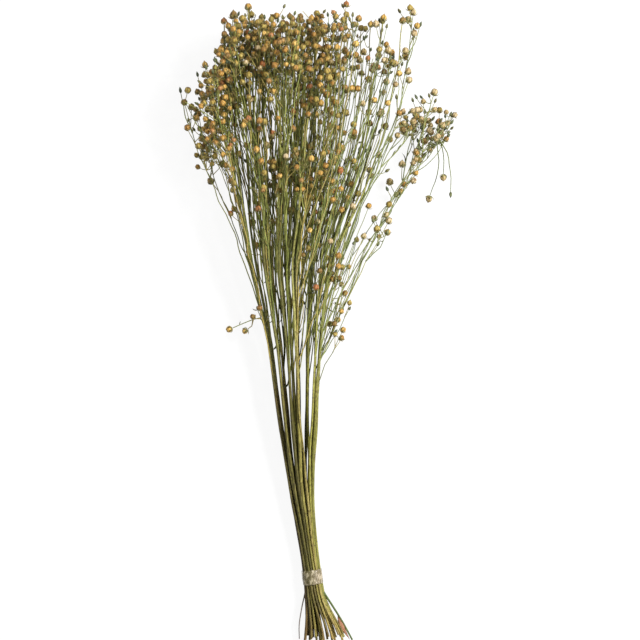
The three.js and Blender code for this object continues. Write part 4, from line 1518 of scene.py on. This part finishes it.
# The limbs' tones. Twigs are greyer to the right, from where on and up to where they are most so, and one
# stem is tan.
TWIG_TONES = ["#868c3e", "#a6aa5a", "#6c7132", "#b9a65c", "#7b8540", "#4b4f28"]
STALK_TONES = ["#9a8f4e", "#a69752", "#857c42", "#ad995c"]
RIGHT_TONE = "#93a070"
RIGHT_SHARE = 0.6
RIGHT_PLACES = (15, 80)
SHOOT_TONES = {"green_shoot": "#5c6f3a", "thin_shoot": "#857a70"}
TAN_STEM_PLACE = (-7, 230)
TAN_STEM_NEAREST = 6
TAN_STEM_TONE = "#b3a066"
TAN_SHARE = 0.7

# The fruits' and leaves' tones. Capsules are mixed by their shares, and more of them are straw to the right.
CAPSULE_TONES = {
    "gold": ["#d2a956", "#c89c4c", "#dcb764", "#b48a44"],
    "olive": ["#b49e4f", "#a59145", "#baa657", "#988941"],
    "rust": ["#ba8852", "#ad7442", "#b07040"],
    "straw": ["#cdb88c", "#c2ae80", "#d4c29a", "#b8a476"],
    "brown": ["#a68044", "#8f723a"],
}
CAPSULE_SHARES = {"gold": 0.5, "olive": 0.3, "rust": 0.06, "straw": 0.04, "brown": 0.1}
STRAW_PLACES = (20, 100)
STRAW_SHARE = 0.6
BUD_TONES = ["#66704c", "#747c50", "#57644a", "#7e7c50"]
SEPAL_TONES = ["#8c7c42", "#968648", "#7c703c", "#848048"]
LEAF_TONES = ["#5f6d42", "#72794a", "#868254"]
DRY_LEAF_TONE = "#b58060"

# The fruits' sizes and lengths, as shares of what the rule gives them
DRY_CAPSULE_SIZES = (0.73, 0.87)
SMALL_CAPSULE_SIZES = (0.8, 1.04)
LENGTHWAYS = (0.92, 1.08)

# The rule's millimetres in a metre, and where the draws for the finish start
METRE = 1000
FINISH_SEED = 5000


def picked(draw, things):
    """A random one of some things."""
    return things[math.floor(draw() * len(things))]


def blended(first, second, share):
    """A tone between two others: the second one's share is given."""
    return tuple(a + (b - a) * share for a, b in zip(first, second))


def tone_at(tones, place):
    """The tint at a place in a list of places and tones."""
    places = [known for known, _ in tones]
    return tuple(float(np.interp(place, places, part)) for part in zip(*(linear(code) for _, code in tones)))


def capsule_tone(draw, x):
    """Straw-coloured capsules are commoner to the right, and golden, olive and rusty ones elsewhere."""
    if draw() < STRAW_SHARE * ramp(x, *STRAW_PLACES):
        return linear(picked(draw, CAPSULE_TONES["straw"]))
    kind = draw()
    for name, share in CAPSULE_SHARES.items():
        if kind < share:
            break
        kind -= share
    return linear(picked(draw, CAPSULE_TONES[name]))


class Guide:
    """The lines and places that the node tree grows one spray from."""

    def __init__(self):
        self.places = []
        self.edges = []
        self.values = {name: [] for name in GUIDE_ATTRIBUTES}

    def add_point(self, place, form, tint, thick=0, kind=0, size=(0, 0, 0), turn=(0, 0, 0)):
        self.places.append(place)
        given = {"form": FORMS[form], "thick": thick, "tint": (*tint, 1), "kind": kind, "size": size,
                 "turn": turn}
        for name, value in given.items():
            self.values[name].append(value)

    def add_limb(self, curve, form, radii, tints):
        start = len(self.places)
        for place, radius, tint in zip(curve, radii, tints):
            self.add_point(in_frame(place), form, tint, thick=radius / METRE)
        self.edges += [(i, i + 1) for i in range(start, len(self.places) - 1)]

    def add_fruit(self, fruit, form, tint, kind, radius, length, spin):
        axis = Vector(fruit["axis"]).to_track_quat("Z", "Y").to_matrix() @ Matrix.Rotation(spin, 3, "Z")
        size = (radius / METRE, radius / METRE, radius * length / METRE)
        self.add_point(in_frame(fruit["centre"]), form, tint, kind=kind, size=size, turn=axis.to_euler())

    def made(self, name):
        mesh = bpy.data.meshes.new(name)
        mesh.from_pydata([tuple(place) for place in self.places], self.edges, [])
        for attribute_name, kind in GUIDE_ATTRIBUTES.items():
            layer = mesh.attributes.new(attribute_name, kind, "POINT")
            values = np.array(self.values[attribute_name], float).ravel()
            field = {"FLOAT_VECTOR": "vector", "FLOAT_COLOR": "color"}.get(kind, "value")
            layer.data.foreach_set(field, values.astype(int) if kind == "INT" else values)
        return bpy.data.objects.new(name, mesh)


def in_frame(place):
    """A place by the growth rule, as a place in the frame, which the solid band ties to it."""
    x, height, z = place
    return (BAND_MIDDLE.x + x / METRE, BAND_MIDDLE.y + height / METRE, BAND_LOW.z + (z - FLOOR) / METRE)


def add_fruit(guide, draw, fruit):
    """A capsule with its calyx, or a bud, on the tip of a limb. A few capsules have dropped."""
    kind, radius = fruit["kind"], fruit["kind"]["radius"]
    spin = between(draw, 0, 2 * math.pi)
    length = between(draw, *LENGTHWAYS)
    form = math.floor(draw() * 3)
    centre = fruit["centre"]
    # Buds, capsules and calyxes get painted shade inside the bunch and on its lower side
    if kind["name"] == "bud":
        tone = shaded(linear(picked(draw, BUD_TONES)), centre)
        guide.add_fruit(fruit, "bud", tone, form % len(BUD_FORMS), radius, length, spin)
        return
    sizes = DRY_CAPSULE_SIZES if kind is CAPSULE else SMALL_CAPSULE_SIZES
    radius *= between(draw, *sizes)
    tone = shaded(capsule_tone(draw, centre[0]), centre)
    if kind is CAPSULE or draw() > EMPTY_CHANCE:
        guide.add_fruit(fruit, "capsule", tone, form, radius, length, spin)
    calyx = math.floor(draw() * len(SEPAL_FORMS))
    tone = shaded(linear(picked(draw, SEPAL_TONES)), centre)
    guide.add_fruit(fruit, "calyx", tone, calyx, radius, 1, spin)


def shaded(tone, place):
    """A tone with painted shade at its place: darker inside the bunch, and on its lower side, where shade
    falls.
    """
    across, up = (min(max(part, -1), 1) for part in place_within(place))
    inner = np.interp(place[1], *zip(*PAINTED_INNER_SHADE)) * max(0, 1 - across ** 2 - up ** 2)
    lower = np.interp(place[1], *zip(*PAINTED_LOWER_SHADE)) * (1 - up) / 2
    # What is left of the tone after the painted shade
    kept = (1 - inner) * (1 - lower)
    return tone[0] * kept, tone[1] * kept, tone[2] * kept ** PAINTED_SHADE_BLUE_FADE


def stem_tints(spray, curve, draw):
    """A stem's tone at each of its points, with painted shade and painted light from its side tone, and
    painted shade from its place in the bunch.
    """
    own, share = linear(picked(draw, OWN_TONES)), between(draw, *OWN_SHARE)
    if spray is tan_spray:
        own, share = linear(TAN_STEM_TONE), TAN_SHARE
    side = spray.root[0] / BUNDLE_RADIUS + between(draw, -SIDE_JITTER, SIDE_JITTER)
    # The side tone is partly the stem's own and partly painted shade on the left and painted light on the
    # right
    low_tone = tone_at(SIDE_TONES_AND_PAINTED_LIGHT, side)
    tints = []
    for place in curve:
        height = place[1]
        tint = blended(low_tone, tone_at(STEM_TONES, height), ramp(height, *SIDE_TONE_HEIGHTS))
        tail = TAIL_SHARE * ramp(-height, -TAIL_HEIGHTS[0], -TAIL_HEIGHTS[1])
        tint = blended(tint, linear(TAIL_TONE), tail)
        # Painted shade inside the bunch and on its lower side
        tints.append(shaded(blended(tint, own, share), place))
    return tints


def add_stem(guide, spray, draw):
    curve = smooth(spray.stem, STEM_STEP)
    steady = np.array([ramp(height, *STEADY_HEIGHTS) for height in curve[:, 1]])
    tip_fade = np.clip((lengths(curve)[-1] - lengths(curve)) / SHORTEST_STRETCH, 0, 1)
    curve = bowed(curve, STEM_BOW, STEM_BOW_LENGTHS, draw, steady * tip_fade)
    curve = gathered(spread(curve, draw), draw)
    size = between(draw, *STEM_SIZES)
    sizes = np.array([1 + (size - 1) * ramp(height, *STEADY_HEIGHTS) for height in curve[:, 1]])
    radii = np.interp(curve[:, 1], *zip(*STEM_THICKNESS)) * sizes
    guide.add_limb(curve, "stem", radii, stem_tints(spray, curve, draw))
    return curve


def add_limb(guide, form, points, fruit, parents, draw):
    curve = rooted(smooth(points, LIMB_STEPS[form], fruit and fruit["axis"]), parents)
    part = lengths(curve) / lengths(curve)[-1]
    if form.endswith("twig"):
        curve = bowed(curve, TWIG_BOW, TWIG_BOW_LENGTHS, draw, np.sin(math.pi * part) ** 2)
    tones = STALK_TONES if form.endswith("stalk") else TWIG_TONES
    tone = linear(SHOOT_TONES.get(form) or picked(draw, tones))
    right = RIGHT_SHARE * ramp(curve[-1][0], *RIGHT_PLACES)
    # A limb gets painted shade at its tip's place in the bunch; the shoots keep their own tones
    tint = tone if form in SHOOT_TONES else shaded(blended(tone, linear(RIGHT_TONE), right), curve[-1])
    skin = "stalk" if form.endswith("stalk") else "twig"
    guide.add_limb(curve, skin, tapered(curve, LIMB_THICKNESS[form]), [tint] * len(curve))
    return curve


def add_blade(guide, points, width, parents, draw):
    """A leaf, which grows from its twig unless it is the dry one below the band."""
    is_dry = width == DRY_LEAF_WIDTH
    curve = smooth(points, LEAF_STEP)
    if not is_dry:
        curve = rooted(curve, parents)
    own = linear(DRY_LEAF_TONE if is_dry else picked(draw, LEAF_TONES))
    guide.add_limb(curve, "blade", blade_radius(curve, width), [own] * len(curve))


def spray_guide(spray):
    draw = drawer(FINISH_SEED + spray.index * SEED_STEP)
    guide = Guide()
    curves = [add_stem(guide, spray, draw)]
    add_fruit(guide, draw, spray.fruit)
    for form, points, fruit in spray.limbs:
        curves.append(add_limb(guide, form, points, fruit, np.vstack(curves), draw))
        if fruit:
            add_fruit(guide, draw, fruit)
    for points, width in spray.blades:
        add_blade(guide, points, width, np.vstack(curves), draw)
    return guide


def set_inputs(modifier, tree):
    given = {"blade flatness": BLADE_FLATNESS, "capsule shapes": CAPSULES, "bud shapes": BUDS,
             "calyx shapes": CALYXES}
    given.update({f"{form} sides": sides for form, sides in LIMB_SIDES.items()})
    given.update({f"{form} finish": material for form, material in FINISHES.items()})
    for socket in tree.interface.items_tree:
        if socket.in_out == "INPUT" and socket.name in given:
            modifier[socket.identifier] = given[socket.name]


def grown(guide, tree, name):
    """The guide's spray as a plain mesh, pressed flat where it lies on the floor."""
    piece = guide.made(name)
    bpy.context.scene.collection.objects.link(piece)
    modifier = piece.modifiers.new("grow", "NODES")
    modifier.node_group = tree
    set_inputs(modifier, tree)
    depsgraph = bpy.context.evaluated_depsgraph_get()
    mesh = bpy.data.meshes.new_from_object(piece.evaluated_get(depsgraph), depsgraph=depsgraph)
    piece.modifiers.clear()
    piece.data = mesh
    mesh.name = name
    for attribute_name in GUIDE_ATTRIBUTES:
        if attribute_name != "tint" and attribute_name in mesh.attributes:
            mesh.attributes.remove(mesh.attributes[attribute_name])
    places = np.zeros(len(mesh.vertices) * 3, np.float32)
    mesh.vertices.foreach_get("co", places)
    places[2::3] = np.maximum(places[2::3], BAND_LOW.z)
    mesh.vertices.foreach_set("co", places)
    mesh.update()
    return piece


tan_spray = max(sprays_near(*TAN_STEM_PLACE)[:TAN_STEM_NEAREST], key=lambda spray: spray.root[1])
TREE = spray_tree()
for spray in sprays:
    node_name = f"stem_{spray.index + 1:02}"
    piece = grown(spray_guide(spray), TREE, f"flax_{spray.index + 1:02}")
    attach(piece, "root")
    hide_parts(node_name)

# The film that ties the stems: a strip wound a little more than once round them, with its start and end
# given in turns. A crease has a count round the film, a depth, and a lean.
FILM_THICKNESS = 0.22
FILM_CLEARANCE = 0.12
FILM_START = 0.9
FILM_TURNS = 1.24
FILM_STATIONS = 220
FILM_ROWS = 16
FILM_CREASES = [(5, 0.08, 0.175), (11, 0.05, 0.525), (23, 0.025, 0.05)]
FILM_SAG = 0.15
FILM_SAG_COUNT = 9
FILM_PINCH = 0.25
FILM_LAP_RISE = 0.34
FILM_LAP_START = (0.95, 1.01)
FILM_EDGE_WAVE = 0.35
FILM_EDGE_COUNTS = (7, 3)
FILM_LOWER_EDGE_SHARE = 0.6


def film_radius(turn, across, wound):
    """The film's inner radius: held off the stems, creased, and higher where it laps over its start."""
    lap = FILM_LAP_RISE * ramp(wound, *FILM_LAP_START)
    creases = sum(depth * math.sin(count * turn + lean * across * count + count)
                  for count, depth, lean in FILM_CREASES)
    sag = FILM_SAG * (1 - across * across) * math.sin(FILM_SAG_COUNT * turn) ** 2
    pinch = FILM_PINCH * abs(across) ** 3
    return BAND_INNER + FILM_CLEARANCE + lap + creases - sag - pinch


def film_place(radius, turn, height):
    """A place on the film, which leans as the band does and lies flat where it meets the floor."""
    x = radius * math.cos(turn)
    z = max(radius * math.sin(turn), FLOOR)
    leaned_x = x * math.cos(BAND_LEAN) - height * math.sin(BAND_LEAN)
    leaned_height = x * math.sin(BAND_LEAN) + height * math.cos(BAND_LEAN)
    return in_frame((leaned_x, leaned_height, z))


def film_vertices():
    """The places on the film's outer side, and then those on its inner side."""
    many, few = FILM_EDGE_COUNTS
    vertices = []
    for thickness in (FILM_THICKNESS, 0):
        for i in range(FILM_STATIONS + 1):
            wound = FILM_TURNS * i / FILM_STATIONS
            turn = FILM_START + 2 * math.pi * wound
            wave = FILM_EDGE_WAVE * math.sin(many * turn) * math.sin(few * turn + 1)
            for j in range(FILM_ROWS + 1):
                across = 2 * j / FILM_ROWS - 1
                share = 1 if across > 0 else FILM_LOWER_EDGE_SHARE
                height = across * (BAND_WIDTH / 2 + wave * share)
                vertices.append(film_place(film_radius(turn, across, wound) + thickness, turn, height))
    return vertices


def film_faces():
    """Both sides of the film, and its closed edges and ends, all turned outwards."""
    rows = FILM_ROWS + 1
    inner = (FILM_STATIONS + 1) * rows
    faces = []
    for i in range(FILM_STATIONS):
        for j in range(FILM_ROWS):
            here, there = i * rows + j, (i + 1) * rows + j
            faces.append((here, here + 1, there + 1, there))
            faces.append((inner + here, inner + there, inner + there + 1, inner + here + 1))
        for j in (0, FILM_ROWS):
            here, there = i * rows + j, (i + 1) * rows + j
            edge = (here, there, inner + there, inner + here)
            faces.append(edge if j == 0 else edge[::-1])
    for i in (0, FILM_STATIONS):
        for j in range(FILM_ROWS):
            here = i * rows + j
            end = (here, inner + here, inner + here + 1, here + 1)
            faces.append(end if i == 0 else end[::-1])
    return faces


piece = mesh_object("tie_film", film_vertices(), film_faces())
bpy.context.scene.collection.objects.link(piece)
piece.data.materials.append(film_finish())
piece.data.shade_smooth()
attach(piece, "root")
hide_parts("tie_band")

# The stage: a plain pale floor, soft light from the right, and a camera that looks straight down
FLOOR_SIZE = 12
FLOOR_DROP = 0.0003
FLOOR_TONES = (0.12, 0.14)
FLOOR_GRAIN = (90, 3.0)
FLOOR_SPOTS = (0.3, 0.7)
FLOOR_DULLNESS = 0.95
FLOOR_SHINE = 0.1
FLOOR_GLOW = 0.9
FRAME_WIDTH = 0.64
FRAME_MIDDLE = (0.0044, 0.0044)
FRAME_LEVEL = 0.045
LENS = 150
SENSOR = 36
KEY_PLACE = (1.5, 0.7, 1.8)
KEY_SIZE = 0.9
KEY_POWER = 92
FILL_PLACE = (-1.6, -0.6, 2.2)
FILL_SIZE = 2.0
FILL_POWER = 8
SKY = 0.36


def floor_finish():
    material, tree, shader = new_finish("pale_floor", FLOOR_SHINE, FLOOR_DULLNESS)
    darker, lighter = ((tone, tone, tone) for tone in FLOOR_TONES)
    pale = mixed(tree, "MIX", ranged(tree, noise(tree, FLOOR_GRAIN), *FLOOR_SPOTS), darker, lighter)
    tree.links.new(pale, shader.inputs["Base Color"])
    shader.inputs["Emission Color"].default_value = (1, 1, 1, 1)
    shader.inputs["Emission Strength"].default_value = FLOOR_GLOW
    return material


def floor():
    half, level = FLOOR_SIZE / 2, -FLOOR_DROP
    corners = [(-half, -half, level), (half, -half, level), (half, half, level), (-half, half, level)]
    plane = mesh_object("floor", corners, [(0, 1, 2, 3)])
    bpy.context.scene.collection.objects.link(plane)
    plane.data.materials.append(floor_finish())


def lamp(name, place, size, power):
    light = bpy.data.lights.new(name, "AREA")
    light.size = size
    light.energy = power
    thing = bpy.data.objects.new(name, light)
    thing.location = place
    thing.rotation_euler = Vector(place).to_track_quat("Z", "Y").to_euler()
    bpy.context.scene.collection.objects.link(thing)


def sky():
    world = bpy.data.worlds.new("sky")
    world.use_nodes = True
    background = world.node_tree.nodes["Background"]
    background.inputs["Color"].default_value = (1, 1, 1, 1)
    background.inputs["Strength"].default_value = SKY
    bpy.context.scene.world = world


def camera():
    lens = bpy.data.cameras.new("camera")
    lens.lens = LENS
    lens.sensor_width = SENSOR
    thing = bpy.data.objects.new("camera", lens)
    distance = FRAME_WIDTH * LENS / SENSOR
    thing.location = (*FRAME_MIDDLE, FRAME_LEVEL + distance)
    bpy.context.scene.collection.objects.link(thing)
    bpy.context.scene.camera = thing


floor()
lamp("key", KEY_PLACE, KEY_SIZE, KEY_POWER)
lamp("fill", FILL_PLACE, FILL_SIZE, FILL_POWER)
sky()
camera()
bpy.context.scene.view_settings.view_transform = "Standard"
